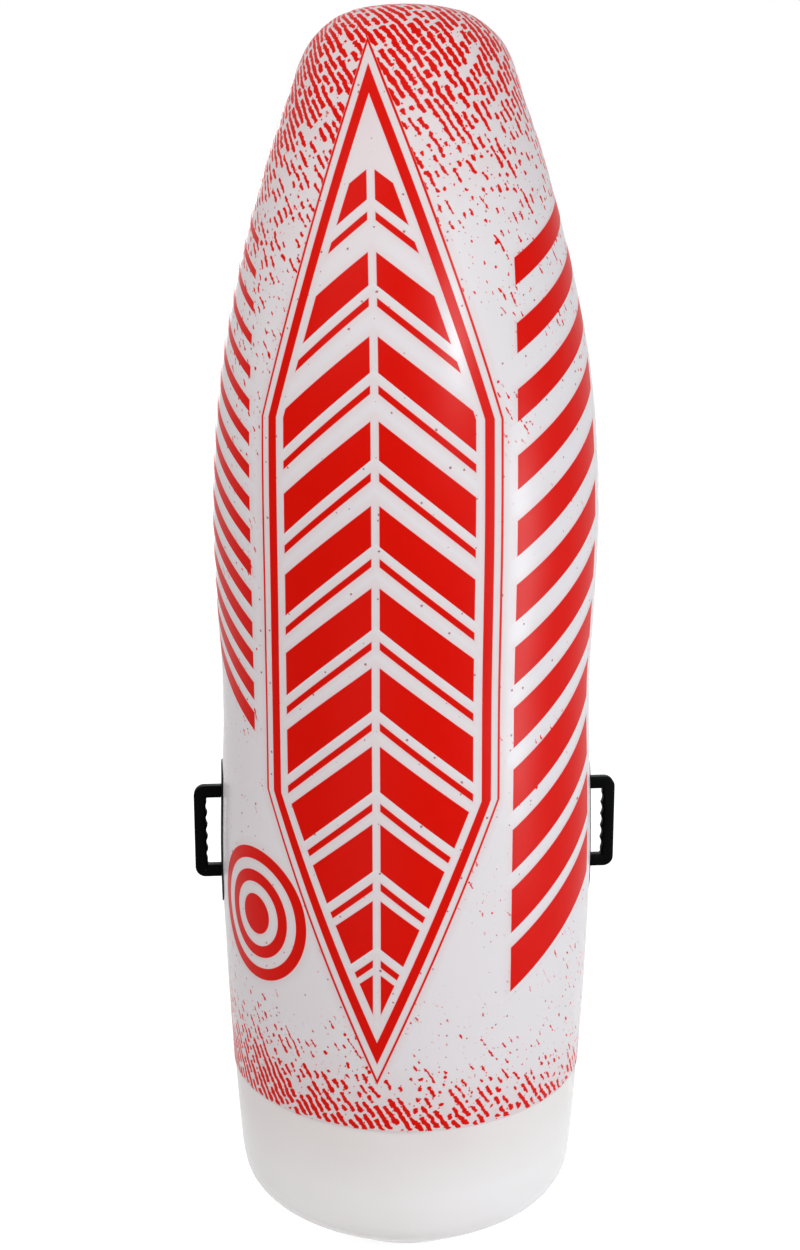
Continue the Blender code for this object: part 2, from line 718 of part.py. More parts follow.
def make_air_valve(parts, tools, plastic, rubber, cap_plastic):
    height = AIR_VALVE_HEIGHT
    skin_y = skin_radius(height) - BACK_INSET
    column = [(SOCKET_RADIUS, SOCKET_HEIGHT)]
    make_welded_base("air_valve_base", height, BACK_INSET, AIR_FLANGE_RADIUS, column, SOCKET_BORE,
                     parts, tools, plastic)

    seal_low = SOCKET_HEIGHT + GAP
    thread = SOCKET_BORE - GAP
    seal = add_turned("air_valve_seal",
                      ring_profile(thread + GAP, thread + GAP + SEAL_WIDTH, seal_low,
                                   seal_low + SEAL_THICKNESS), parts, rubber, closed=True)
    face_back(seal, skin_y, height)

    shoulder = seal_low + SEAL_THICKNESS + GAP
    seat = shoulder + INSERT_HEAD
    low_end = shoulder - INSERT_PITCH * INSERT_TURNS - INSERT_LEAD
    tube = thread - INSERT_WALL
    insert = add_turned("air_valve_insert", [
        (INSERT_NECK_RADIUS, seat + INSERT_NECK_HEIGHT), (INSERT_NECK_RADIUS, seat),
        (INSERT_HEAD_RADIUS, seat), (INSERT_HEAD_RADIUS, shoulder), (thread, shoulder),
        (thread, low_end), (tube, low_end), (tube, shoulder),
        (INSERT_BORE, shoulder), (INSERT_BORE, seat + INSERT_NECK_HEIGHT)],
        parts, plastic, closed=True)
    rib_rim(insert, INSERT_HEAD_RADIUS)
    face_back(insert, skin_y, height)

    flap_radius = INSERT_BORE + FLAP_LAP
    side = FLAP_TAB_WIDTH / 2
    start = math.degrees(math.acos(side / flap_radius))
    outline = arc_points(0.0, -FLAP_HINGE_OFFSET, flap_radius, 180.0 - start, 360.0 + start, 24)
    outline += [(side, 0.0), (-side, 0.0)]
    flap = add_outline_plate("air_valve_flap", outline, FLAP_THICKNESS / 2, parts, rubber)
    flap.rotation_euler = (math.radians(90.0), 0.0, 0.0)
    flap.location = (0.0, skin_y + shoulder - GAP - FLAP_THICKNESS / 2, height + FLAP_HINGE_OFFSET)

    make_screw_cap("air", INSERT_NECK_RADIUS, INSERT_NECK_HEIGHT, skin_y + seat, height,
                   parts, tools, cap_plastic, rubber)


def make_water_valve(parts, tools, plastic, rubber, cap_plastic):
    height = WATER_VALVE_HEIGHT
    skin_y = skin_radius(height) - BASE_INSET
    column = [(COLLAR_RADIUS, COLLAR_HEIGHT), (WATER_NECK_RADIUS, COLLAR_HEIGHT + WATER_NECK_HEIGHT)]
    make_welded_base("water_valve_base", height, BASE_INSET, WATER_FLANGE_RADIUS, column, WATER_BORE,
                     parts, tools, plastic)
    make_screw_cap("water", WATER_NECK_RADIUS, WATER_NECK_HEIGHT, skin_y + COLLAR_HEIGHT, height,
                   parts, tools, cap_plastic, rubber)


def main():
    empty_scene()
    parts = add_collection(COLLECTION_NAME)
    tools = add_collection("cutters")

    printed = finish("printed_film", (0.72, 0.05, 0.04), 0.32, coat=0.2)
    plain = finish("white_film", (0.76, 0.74, 0.75), 0.35, coat=0.2)
    frosted = finish("frosted_film", (0.78, 0.79, 0.79), 0.45, alpha=0.9)
    clear = finish("tank_film", (0.80, 0.82, 0.83), 0.40, alpha=0.7)
    water = finish("water", (0.55, 0.72, 0.80), 0.05, alpha=0.5)
    black = finish("black_rubber", (0.012, 0.012, 0.012), 0.45)
    valve = finish("valve_plastic", (0.70, 0.71, 0.71), 0.40)
    cap = finish("cap_plastic", (0.03, 0.03, 0.03), 0.42)
    soft = finish("valve_rubber", (0.05, 0.05, 0.05), 0.55)

    make_front_panel(parts, printed)
    make_back_panel(parts, tools, plain)
    make_base_wall(parts, tools, frosted)
    make_base_floor(parts, frosted)
    make_diaphragm(parts, clear)
    make_water(parts, water)
    make_handle(1.0, "right", parts, tools, black)
    make_handle(-1.0, "left", parts, tools, black)
    make_air_valve(parts, tools, valve, soft, cap)
    make_water_valve(parts, tools, valve, soft, cap)


main()
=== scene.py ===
# %% [markdown]
# # Looks of an inflatable goalkeeper training dummy
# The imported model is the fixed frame: it says where every piece sits and how it moves. This
# lesson dresses it. Each film skin, handle and valve piece is modelled again, finer, in the place
# of the plain solid, and gets a finish that is worked out from coordinates and not from pictures.

# %% The frame
import math

import bpy
import numpy as np
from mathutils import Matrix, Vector


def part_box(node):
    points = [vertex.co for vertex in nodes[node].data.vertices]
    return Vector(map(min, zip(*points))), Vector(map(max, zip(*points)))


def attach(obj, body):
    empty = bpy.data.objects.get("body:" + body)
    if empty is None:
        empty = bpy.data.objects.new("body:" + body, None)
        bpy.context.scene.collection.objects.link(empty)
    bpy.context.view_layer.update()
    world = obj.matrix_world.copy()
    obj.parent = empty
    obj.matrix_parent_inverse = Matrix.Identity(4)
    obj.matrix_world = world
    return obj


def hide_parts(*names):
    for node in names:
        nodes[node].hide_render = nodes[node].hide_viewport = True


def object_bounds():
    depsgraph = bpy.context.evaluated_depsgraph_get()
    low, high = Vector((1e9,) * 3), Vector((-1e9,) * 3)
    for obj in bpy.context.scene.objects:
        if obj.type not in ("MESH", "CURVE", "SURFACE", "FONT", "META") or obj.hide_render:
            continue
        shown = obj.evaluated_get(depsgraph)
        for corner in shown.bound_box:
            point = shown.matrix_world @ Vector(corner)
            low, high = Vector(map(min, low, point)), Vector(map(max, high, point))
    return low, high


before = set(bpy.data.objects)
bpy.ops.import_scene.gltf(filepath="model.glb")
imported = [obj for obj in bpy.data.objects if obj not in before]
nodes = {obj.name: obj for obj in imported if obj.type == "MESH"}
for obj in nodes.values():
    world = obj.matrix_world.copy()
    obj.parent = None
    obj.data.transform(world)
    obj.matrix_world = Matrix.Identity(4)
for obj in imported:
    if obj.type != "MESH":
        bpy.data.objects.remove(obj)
CAD_BOX = [list(corner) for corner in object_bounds()]
CENTRE_HEIGHT = (CAD_BOX[0][2] + CAD_BOX[1][2]) / 2
print("CAD box", [[round(value, 4) for value in corner] for corner in CAD_BOX])

# %% [markdown]
# ## The camera
# The photograph was taken from a little above head height, slightly to the left of the front. Its
# place and lens were worked out from the outline, the print's lower edge and the two handles.

# %% Camera
CAMERA_DISTANCE = 2.632
CAMERA_HEIGHT = 1.622
CAMERA_TILT_DEG = 11.80
CAMERA_TURN_DEG = 4.5
FOCAL_PIXELS = 1600.0
PHOTO_HEIGHT = 1250
AXIS_OFFSET_PIXELS = 6.0
SENSOR_MM = 36.0


def add_camera():
    camera = bpy.data.cameras.new("photo_camera")
    camera.sensor_width = SENSOR_MM
    camera.lens = FOCAL_PIXELS / PHOTO_HEIGHT * SENSOR_MM
    camera.shift_x = -AXIS_OFFSET_PIXELS / PHOTO_HEIGHT
    camera.clip_start = 0.05
    holder = bpy.data.objects.new("photo_camera", camera)
    bpy.context.scene.collection.objects.link(holder)
    turn = math.radians(CAMERA_TURN_DEG)
    aside, back = CAMERA_DISTANCE * math.sin(turn), CAMERA_DISTANCE * math.cos(turn)
    holder.location = (-aside, -back, CAMERA_HEIGHT)
    holder.rotation_euler = (math.radians(90.0 - CAMERA_TILT_DEG), 0.0, -turn)
    bpy.context.scene.camera = holder
    print("camera lens", round(camera.lens, 2), "mm")


add_camera()

# %% [markdown]
# ## Sums on sockets
# A print on film is a question asked at every point: is this point inside the shape? Such
# questions are sums, and a sum in a node tree soon fills the screen. One small class wraps a
# socket, so that the sums can be written as Python expressions, each of which adds its Math node.

# %% Sums on sockets
def add_node(tree, kind, settings=None, sockets=None):
    """A node of any kind. Its settings come first, then the values or links of its sockets."""
    node = tree.nodes.new(kind)
    for name, value in (settings or {}).items():
        setattr(node, name, value)
    for name, value in (sockets or {}).items():
        if isinstance(value, Wire):
            tree.links.new(value.socket, node.inputs[name])
        else:
            node.inputs[name].default_value = value
    return node


def counting(operation, swapped=False):
    """A method that counts a wire with another wire or with a number."""
    def count(self, other):
        first, second = (other, self) if swapped else (self, other)
        return self.maths(operation, first, second)
    return count


class Wire:
    """A socket that Python can count with."""

    __add__, __radd__ = counting("ADD"), counting("ADD", swapped=True)
    __sub__, __rsub__ = counting("SUBTRACT"), counting("SUBTRACT", swapped=True)
    __mul__, __rmul__ = counting("MULTIPLY"), counting("MULTIPLY", swapped=True)
    __truediv__ = counting("DIVIDE")

    # The smaller of two is inside both shapes, the larger is inside one or the other.
    both, either = counting("MINIMUM"), counting("MAXIMUM")

    def __init__(self, tree, socket):
        self.tree = tree
        self.socket = socket

    def maths(self, operation, *values, clamp=False):
        settings = {"operation": operation, "use_clamp": clamp}
        node = add_node(self.tree, "ShaderNodeMath", settings, dict(enumerate(values)))
        return Wire(self.tree, node.outputs[0])

    def __abs__(self):
        return self.maths("ABSOLUTE", self)

    def whole(self):
        """The whole number below a value, to count the things that repeat."""
        return self.maths("FLOOR", self)

    def part(self):
        """What is left of a value after its whole number, for the place in what repeats."""
        return self.maths("FRACT", self)

    def zigzag(self):
        """Up and down between 0 and 0.5, once in each whole number."""
        return self.maths("PINGPONG", self, 0.5)

    def root(self):
        return self.maths("SQRT", self)

    def ramp(self, start, end):
        """0 at start, 1 at end, straight in between."""
        scale = 1.0 / (end - start)
        return self.maths("MULTIPLY_ADD", self, scale, -start * scale, clamp=True)

    def edge(self, softness):
        """A crisp mask: 1 where the value is above 0."""
        return self.ramp(-softness / 2, softness / 2)

    def round_meet(self, other, radius):
        """Inside both shapes, with a rounded corner where they meet."""
        here, there = (radius - self).either(0.0), (radius - other).either(0.0)
        return radius - (here * here + there * there).root()


# %% [markdown]
# ## A finish
# Every finish here starts the same way: a material with a Principled shader, and a few sockets
# that others read, such as the place on the object or the piece's own map. The class below keeps
# them together. Values that are the same all over go straight on the shader. Plain mouldings and
# inner pieces are one mottled material, so a function makes those.

# %% A finish
SOCKET_NAMES = {"specular": "Specular IOR Level", "ior": "IOR", "alpha": "Alpha"}


class Finish:
    """A material being painted, and the wires that its patterns start from."""

    def __init__(self, name, **same_all_over):
        self.material = bpy.data.materials.new(name)
        self.material.use_nodes = True
        self.tree = self.material.node_tree
        self.shader = self.tree.nodes["Principled BSDF"]
        for key, value in same_all_over.items():
            self.shader.inputs[SOCKET_NAMES[key]].default_value = value

    def wire(self, kind, output, settings=None, sockets=None):
        node = add_node(self.tree, kind, settings, sockets)
        return Wire(self.tree, node.outputs[output])

    def place(self):
        """The place on the object, in metres. Every object's own zero is the frame's."""
        return self.wire("ShaderNodeTexCoord", "Object")

    def sheet(self, layer):
        """Across and up on the piece's own flat sheet, in metres."""
        return self.split(self.wire("ShaderNodeUVMap", 0, {"uv_map": layer}))

    def split(self, vector):
        node = add_node(self.tree, "ShaderNodeSeparateXYZ", None, {0: vector})
        return [Wire(self.tree, socket) for socket in node.outputs]

    def join(self, x, y, z=0.0):
        return self.wire("ShaderNodeCombineXYZ", 0, None, {0: x, 1: y, 2: z})

    def noise(self, vector, scale, detail=2.0, dimensions="3D", output="Fac"):
        return self.wire("ShaderNodeTexNoise", output, {"noise_dimensions": dimensions},
                         {"Vector": vector, "Scale": scale, "Detail": detail})

    def shake(self, vector, scale, reach):
        """The vector, moved about by up to half the reach each way."""
        push = self.noise(vector, scale, 1.0, "2D", "Color")
        return self.wire("ShaderNodeVectorMath", 0, {"operation": "MULTIPLY_ADD"},
                         {0: push, 1: (reach, reach, 0.0), 2: vector})

    def mix(self, share, first, second):
        """A colour between two."""
        settings = {"data_type": "RGBA", "blend_type": "MIX"}
        return self.wire("ShaderNodeMix", 2, settings, {0: share, 6: first, 7: second})

    def paint(self, socket, wire):
        self.tree.links.new(wire.socket, self.shader.inputs[socket])

    def bump(self, height, distance, strength=1.0, under=None):
        sockets = {"Height": height, "Distance": distance, "Strength": strength}
        if under is not None:
            sockets["Normal"] = under
        return self.wire("ShaderNodeBump", 0, None, sockets)


def srgb(red, green, blue):
    """A colour as a picture program shows it, 0 to 255, as the linear light that shaders use."""
    linear = []
    for value in (red, green, blue):
        share = value / 255
        linear.append(share / 12.92 if share <= 0.04045 else ((share + 0.055) / 1.055) ** 2.4)
    return (*linear, 1.0)


def grain(scale, distance, strength, detail=1.0):
    """Bumps of noise, as a function of a finish and the place on the object."""
    return lambda finish, place: finish.bump(finish.noise(place, scale, detail), distance, strength)


def mottled(name, scale, detail, colours, roughness, bumps, **same_all_over):
    """A finish whose noise moves its colour between two, and its roughness too."""
    finish = Finish(name, **same_all_over)
    place = finish.place()
    mottle = finish.noise(place, scale, detail)
    least, most = roughness
    finish.paint("Base Color", finish.mix(mottle, *colours))
    finish.paint("Roughness", mottle * (most - least) + least)
    finish.paint("Normal", bumps(finish, place))
    return finish


# %% [markdown]
# ## Modelling by hand, in code
# The pieces are made with the operators that a modeller's keys call. An operator works on all
# that is selected, so everything is deselected first. A turned piece is a line, drawn by extruding
# one point again and again, and then spun about its axis.

# %% Drawing and spinning
MERGE = 0.00001
PLAIN_SHARP_DEG, HANDLE_SHARP_DEG, SMALL_SHARP_DEG = 35.0, 38.0, 40.0
RIM_SHARP_DEG, FILM_SHARP_DEG = 50.0, 60.0


def start_piece(name):
    """A single point at the origin, in edit mode, under the piece's name."""
    bpy.ops.object.select_all(action="DESELECT")
    bpy.ops.mesh.primitive_plane_add(size=0.01)
    piece = bpy.context.object
    piece.name = name
    piece.data.name = name
    bpy.ops.object.mode_set(mode="EDIT")
    bpy.ops.mesh.select_mode(type="VERT")
    bpy.ops.mesh.select_all(action="SELECT")
    bpy.ops.mesh.merge(type="CENTER")
    return piece


def draw_line(points):
    """Move the selected point to the first place, and extrude it on to each of the others."""
    here = Vector(points[0])
    bpy.ops.transform.translate(value=here)
    for point in points[1:]:
        there = Vector(point)
        bpy.ops.mesh.extrude_region_move(TRANSFORM_OT_translate={"value": there - here})
        here = there


def close_piece(inside=False):
    """Merge doubles, turn the faces outwards and leave edit mode."""
    bpy.ops.mesh.select_all(action="SELECT")
    bpy.ops.mesh.remove_doubles(threshold=MERGE)
    bpy.ops.mesh.normals_make_consistent(inside=inside)
    bpy.ops.object.mode_set(mode="OBJECT")


def spin_piece(name, profile, steps, turn_deg=360.0, start_deg=0.0):
    """A profile of (radius, height) points, spun about Z, counterclockwise from an angle.

    The operator turns the other way for a positive angle, so it gets the negative one.
    """
    piece = start_piece(name)
    cosine, sine = math.cos(math.radians(start_deg)), math.sin(math.radians(start_deg))
    draw_line([(radius * cosine, radius * sine, height) for radius, height in profile])
    bpy.ops.mesh.select_all(action="SELECT")
    bpy.ops.mesh.spin(steps=steps, angle=-math.radians(turn_deg), center=(0, 0, 0),
                      axis=(0, 0, 1))
    close_piece()
    return piece


def pick(piece):
    """Select the piece alone, and make it the active one."""
    bpy.ops.object.select_all(action="DESELECT")
    bpy.context.view_layer.objects.active = piece
    piece.select_set(True)


def apply_modifier(piece, kind, **settings):
    modifier = piece.modifiers.new(kind.title(), kind)
    for name, value in settings.items():
        setattr(modifier, name, value)
    pick(piece)
    bpy.ops.object.modifier_apply(modifier=modifier.name)


def give_thickness(piece, film):
    """Turn an open skin into a film, thickened inwards."""
    apply_modifier(piece, "SOLIDIFY", thickness=film, offset=-1.0, use_even_offset=True)


def bevel_sharp(piece, width, sharp_deg):
    """Round the edges that are sharper than an angle."""
    apply_modifier(piece, "BEVEL", width=width, segments=2, limit_method="ANGLE",
                   angle_limit=math.radians(sharp_deg))


def shade_round(piece, sharp_deg=PLAIN_SHARP_DEG):
    piece.data.shade_smooth()
    piece.data.set_sharp_from_angle(angle=math.radians(sharp_deg))


def points_of(piece):
    """The piece's points as rows of an array."""
    places = np.zeros(len(piece.data.vertices) * 3)
    piece.data.vertices.foreach_get("co", places)
    return places.reshape(-1, 3)


def polar(piece):
    """The piece's points, their distance from the Z axis, and their turn about it from +X."""
    places = points_of(piece)
    return places, np.hypot(places[:, 0], places[:, 1]), np.arctan2(places[:, 1], places[:, 0])


def move_points(piece, places):
    piece.data.vertices.foreach_set("co", np.asarray(places).ravel())
    piece.data.update()


def draw_in(piece, places, share):
    """Move points towards the Z axis, by a share of their distance from it."""
    places[:, 0] *= 1.0 - share
    places[:, 1] *= 1.0 - share
    move_points(piece, places)


def cut_hole(piece, radius, length, place, sides=24, tilt_deg=90.0):
    """Cut a round hole with a pin, which lies along Y unless it is tilted less."""
    bpy.ops.object.select_all(action="DESELECT")
    bpy.ops.mesh.primitive_cylinder_add(vertices=sides, radius=radius, depth=length,
                                        location=place,
                                        rotation=(math.radians(tilt_deg), 0.0, 0.0))
    pin = bpy.context.object
    apply_modifier(piece, "BOOLEAN", operation="DIFFERENCE", solver="EXACT", object=pin)
    bpy.data.objects.remove(pin)


def hand_in(piece, body, slot, finish, *stands_for):
    """Give a finished piece its material, its body and the nodes that it stands for."""
    piece.data.materials.clear()
    piece.data.materials.append(finish.material)
    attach(piece, body)
    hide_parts(*stands_for)
    print(piece.name, len(piece.data.polygons), "faces")


# %% [markdown]
# ## The outline of the blown-up skin
# The frame already knows the outline: the points of a plain film on the front centre line. The
# films have two sides, so of each pair only the point farther from the middle is kept. A smooth
# curve through those points gives as many rows as a fine skin needs.

# %% Reading the outline
FILM_PAIR = 0.0016
WALL_FILM = 0.0007
BASE_FILM = 0.0009
LAP_GAP = 0.0003


def outline_of(node):
    """Outer points (radius, height) of a turned film on the front centre line, lowest first."""
    low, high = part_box(node)
    middle = Vector((0.0, (low.z + high.z) / 2))
    line = []
    for vertex in nodes[node].data.vertices:
        if abs(vertex.co.x) < MERGE and vertex.co.y < MERGE:
            line.append(Vector((-vertex.co.y, vertex.co.z)))
    line.sort(key=lambda point: -(point - middle).length)
    kept = []
    for point in line:
        if all((point - other).length > FILM_PAIR for other in kept):
            kept.append(point)
    return sorted(kept, key=lambda point: (point.y, point.x))


def curve_through(points, spacing, axis_end=False):
    """A smooth curve through the points, with rows about the spacing apart."""
    before = points[0] * 2 - points[1]
    after = points[-1] * 2 - points[-2]
    if axis_end:
        after = Vector((-points[-2].x, points[-2].y))
    knots = [before] + points + [after]
    curve = []
    for index in range(1, len(knots) - 2):
        start, end = knots[index], knots[index + 1]
        length = (end - start).length
        leaving, arriving = (slope_at(knots, place) * length for place in (index, index + 1))
        pieces = max(1, round(length / spacing))
        for step in range(pieces):
            t = step / pieces
            curve.append(start * (2 * t**3 - 3 * t**2 + 1) + leaving * (t**3 - 2 * t**2 + t)
                         + end * (3 * t**2 - 2 * t**3) + arriving * (t**3 - t**2))
    curve.append(points[-1])
    return curve


def slope_at(knots, index):
    before, after = knots[index] - knots[index - 1], knots[index + 1] - knots[index]
    first, second = before.length, after.length
    return (before / first * second + after / second * first) / (first + second)


def inset(curve, depth):
    """The curve moved inwards, square to itself."""
    moved = []
    for index, point in enumerate(curve):
        ahead = curve[min(index + 1, len(curve) - 1)]
        behind = curve[max(index - 1, 0)]
        along = (ahead - behind).normalized()
        if point.x < MERGE:
            along = Vector((math.copysign(1.0, ahead.x - behind.x), 0.0))
        moved.append(point + Vector((-along.y, along.x)) * depth)
    return moved


def radius_at(outline, height):
    return float(np.interp(height, [point.y for point in outline], [point.x for point in outline]))


ROW_SPACING = 0.0085
wall_outline = curve_through(outline_of("front_panel"), ROW_SPACING, axis_end=True)
base_outline = curve_through(outline_of("base_wall"), ROW_SPACING)
floor_outline = curve_through(outline_of("base_floor"), ROW_SPACING)
HEM = wall_outline[0].y
print("rows:", len(wall_outline), "on the wall,", len(base_outline), "on the base")

# %% [markdown]
# ## Breathing life into the skin
# Blown-up film isn't a perfect turned shape. Long, low waves run over it, and where a weld holds
# the film back it puckers in short folds across the weld. Up at the head, where the skin narrows
# fast, a few folds are long enough to dent the outline. All skins share one field of such moves,
# so that films which lap still lap. The field is calm where a valve or a handle is welded on.

# %% The skin's waves
SEAM_DEG = 120.0
WAVE_HEIGHT = 0.0007
LONG_WAVES = ((1.0, 3, 4.1, 0.6), (0.7, 5, -9.7, 2.0), (0.5, 2, 17.3, 4.4))
PUCKER_HEIGHT = 0.0011
PUCKER_REACH = 0.026
LONG_FOLD, LONGER_FOLD, SHORT_FOLD = 0.041, 0.067, 0.029
SHORT_FOLD_SHARE = 0.8
SIDE_SHIFT = 1.7
FOLD_WANDER = 5.0
WANDER_RATE = 9.0
NARROW_FROM, NARROW_TO = 1.50, 1.95
NARROW_GAIN = 1.2
CALM_FADE = 0.060
CALM_UP = 0.080
CALM_AXIS_FROM, CALM_AXIS_TO = 0.02, 0.12
CROWN_FOLD_HEIGHT = 0.0006
CROWN_FOLDS_ROUND, FINE_FOLDS_ROUND = 13, 21
CROWN_FOLDS_START = 1.1
FINE_FOLD_SHARE = 0.7
FINE_FOLD_TWIST = 30.0
CROWN_FOLDS_FROM, CROWN_FOLDS_TO = 1.86, 2.00
HEAD_DENTS = ((-103, 1.941), (-103, 1.866), (-103, 1.777), (96, 1.911), (96, 1.766))
DENT_DEPTH = 0.0026
DENT_HALF_WIDTH = 0.055
DENT_HALF_HEIGHT = 0.014
STILL_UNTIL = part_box("tank_diaphragm")[1].z + 0.004
LEAST_RADIUS = 0.01


def middle_of(node):
    low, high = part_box(node)
    return (low + high) / 2


def half_size(node):
    low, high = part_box(node)
    return (high - low) / 2


def smooth_step(value, start, end):
    share = np.clip((value - start) / (end - start), 0.0, 1.0)
    return share * share * (3.0 - 2.0 * share)


def seam_folds(azimuth, height):
    """Short folds across the seams, from -1 to 1, not the same on both sides."""
    side, full = np.sign(azimuth), height * 2 * math.pi
    long_folds = np.sin(full / LONG_FOLD + SIDE_SHIFT * side) + np.sin(full / LONGER_FOLD + side)
    wander = FOLD_WANDER * np.sin(height * WANDER_RATE)
    short_folds = SHORT_FOLD_SHARE * np.sin(full / SHORT_FOLD + wander)
    return (long_folds + short_folds) / (2 + SHORT_FOLD_SHARE)


def crown_folds(azimuth, height):
    """Upright folds that gather towards the crown."""
    broad = np.sin(CROWN_FOLDS_ROUND * azimuth + CROWN_FOLDS_START)
    fine = np.sin(FINE_FOLDS_ROUND * azimuth + FINE_FOLD_TWIST * height)
    return (broad + FINE_FOLD_SHARE * fine) * smooth_step(height, CROWN_FOLDS_FROM, CROWN_FOLDS_TO)


def skin_move(azimuth, radius, height):
    """How far the skin stands out of its plain outline. Azimuth is in radians from the front."""
    wave = WAVE_HEIGHT * sum(share * np.sin(times * azimuth + twist * height + start)
                             for share, times, twist, start in LONG_WAVES)
    wave = wave + crown_folds(azimuth, height) * CROWN_FOLD_HEIGHT
    to_seam = np.abs(np.abs(azimuth) - math.radians(SEAM_DEG)) * radius
    narrowing = 1.0 + NARROW_GAIN * smooth_step(height, NARROW_FROM, NARROW_TO)
    puckers = seam_folds(azimuth, height) * PUCKER_HEIGHT * narrowing
    move = wave + puckers * np.exp(-(to_seam / PUCKER_REACH) ** 2)
    for dent_deg, dent_height in HEAD_DENTS:
        aside = (azimuth - math.radians(dent_deg)) * radius / DENT_HALF_WIDTH
        above = (height - dent_height) / DENT_HALF_HEIGHT
        move = move - DENT_DEPTH * np.exp(-aside**2 - above**2)
    move = move * smooth_step(height, STILL_UNTIL, STILL_UNTIL + CALM_UP)
    move = move * smooth_step(radius, CALM_AXIS_FROM, CALM_AXIS_TO)
    for node in ("left_handle_patch", "right_handle_patch", "air_valve_base", "water_valve_base"):
        spot, size = middle_of(node), half_size(node)
        turn = np.abs(azimuth - math.atan2(spot.x, -spot.y))
        across = np.minimum(turn, 2 * math.pi - turn) * radius
        off_side = np.maximum(across - max(size.x, size.y), 0.0)
        off_end = np.maximum(np.abs(height - spot.z) - size.z, 0.0)
        move = move * smooth_step(np.hypot(off_side, off_end), 0.0, CALM_FADE)
    return move


def azimuth_of(places):
    return np.arctan2(places[:, 0], -places[:, 1])


def wave_skin(piece):
    places, radius, _ = polar(piece)
    move = skin_move(azimuth_of(places), radius, places[:, 2])
    draw_in(piece, places, -move / np.maximum(radius, LEAST_RADIUS))


# %% [markdown]
# ## The films
# The printed front goes two thirds of the way round. It is spun as one surface, gets its map
# while it is still plain, is waved, and only then gets its thickness, inwards. The map is the flat
# sheet that was printed: across is the arc from the front centre line, up the length along the
# outline. The floor's outline has no point near the middle, where the base stands flat, so the
# floor film is drawn as a ring.

# %% Front and back films
FINE_STEP_DEG = 1.25
BACK_LAP = 0.012
SHEET = "flat_sheet"


def map_sheet(piece, outline, middle_deg=0.0):
    """Lay the piece's own map out as the flat sheet, in metres."""
    lengths = [outline[0].y]
    for first, second in zip(outline, outline[1:]):
        lengths.append(lengths[-1] + (second - first).length)
    heights = [point.y for point in outline]
    places, radius, _ = polar(piece)
    azimuth = azimuth_of(places) - math.radians(middle_deg)
    azimuth = (azimuth + math.pi) % (2 * math.pi) - math.pi
    across = azimuth * radius
    up = np.interp(places[:, 2], heights, lengths)
    layer = piece.data.uv_layers.new(name=SHEET)
    corners = np.zeros(len(piece.data.loops), dtype=int)
    piece.data.loops.foreach_get("vertex_index", corners)
    layer.data.foreach_set("uv", np.column_stack([across[corners], up[corners]]).ravel())


def make_film(name, outline, film, start_deg=0.0, turn_deg=360.0, middle_deg=0.0):
    """A waved film of a turned outline. Azimuths are counted from the front."""
    steps = round(turn_deg / FINE_STEP_DEG)
    piece = spin_piece(name, outline, steps, turn_deg, start_deg - 90.0)
    face_out(piece)
    map_sheet(piece, outline, middle_deg)
    wave_skin(piece)
    give_thickness(piece, film)
    shade_round(piece, FILM_SHARP_DEG)
    return piece


def face_out(piece):
    """Turn an open skin's faces away from the middle of the object."""
    face = max(piece.data.polygons, key=lambda one: one.area)
    outwards = face.center - Vector((0.0, 0.0, CENTRE_HEIGHT))
    if face.normal.dot(outwards) < 0.0:
        piece.data.flip_normals()


front = make_film("front_film", wall_outline, WALL_FILM, -SEAM_DEG, 2 * SEAM_DEG)
lap_deg = math.degrees(BACK_LAP / max(point.x for point in wall_outline))
back_line = inset(wall_outline, WALL_FILM + LAP_GAP)
back = make_film("back_film", back_line, WALL_FILM, SEAM_DEG - lap_deg,
                 360.0 - 2 * SEAM_DEG + 2 * lap_deg, middle_deg=180.0)
base = make_film("base_film", base_outline, BASE_FILM)
floor_film = make_film("floor_film", floor_outline, BASE_FILM)

# %% Holes under the valves
SOCKET_BORE = 0.0210
NECK_BORE = 0.0120
HOLE_MARGIN = 0.0015
HOLE_REACH = 0.2
AIR_HEIGHT = middle_of("air_valve_base").z
WATER_HEIGHT = middle_of("water_valve_base").z


def punch_hole(film, bore, height):
    """The film is open behind a valve, a little wider than the valve's bore."""
    place = (0.0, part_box("back_panel")[1].y, height)
    cut_hole(film, bore + HOLE_MARGIN, HOLE_REACH, place, sides=64)
    shade_round(film, FILM_SHARP_DEG)
    print(film.name, "hole of", round(2000 * (bore + HOLE_MARGIN), 1), "mm at", round(height, 3))


punch_hole(back, SOCKET_BORE, AIR_HEIGHT)
punch_hole(base, NECK_BORE, WATER_HEIGHT)

# %% [markdown]
# ## The print
# The front is printed in one red on white film. It carries a plain pattern of strokes: chevrons
# in a long diamond, a column of slanted bars on either side, and rings to aim at. Towards the
# crown and the hem it breaks up into leaning chains of dashes. Each shape is a sum that says how
# far inside it a point lies, in metres, so shapes are joined and cut by taking the larger or the
# smaller of two.

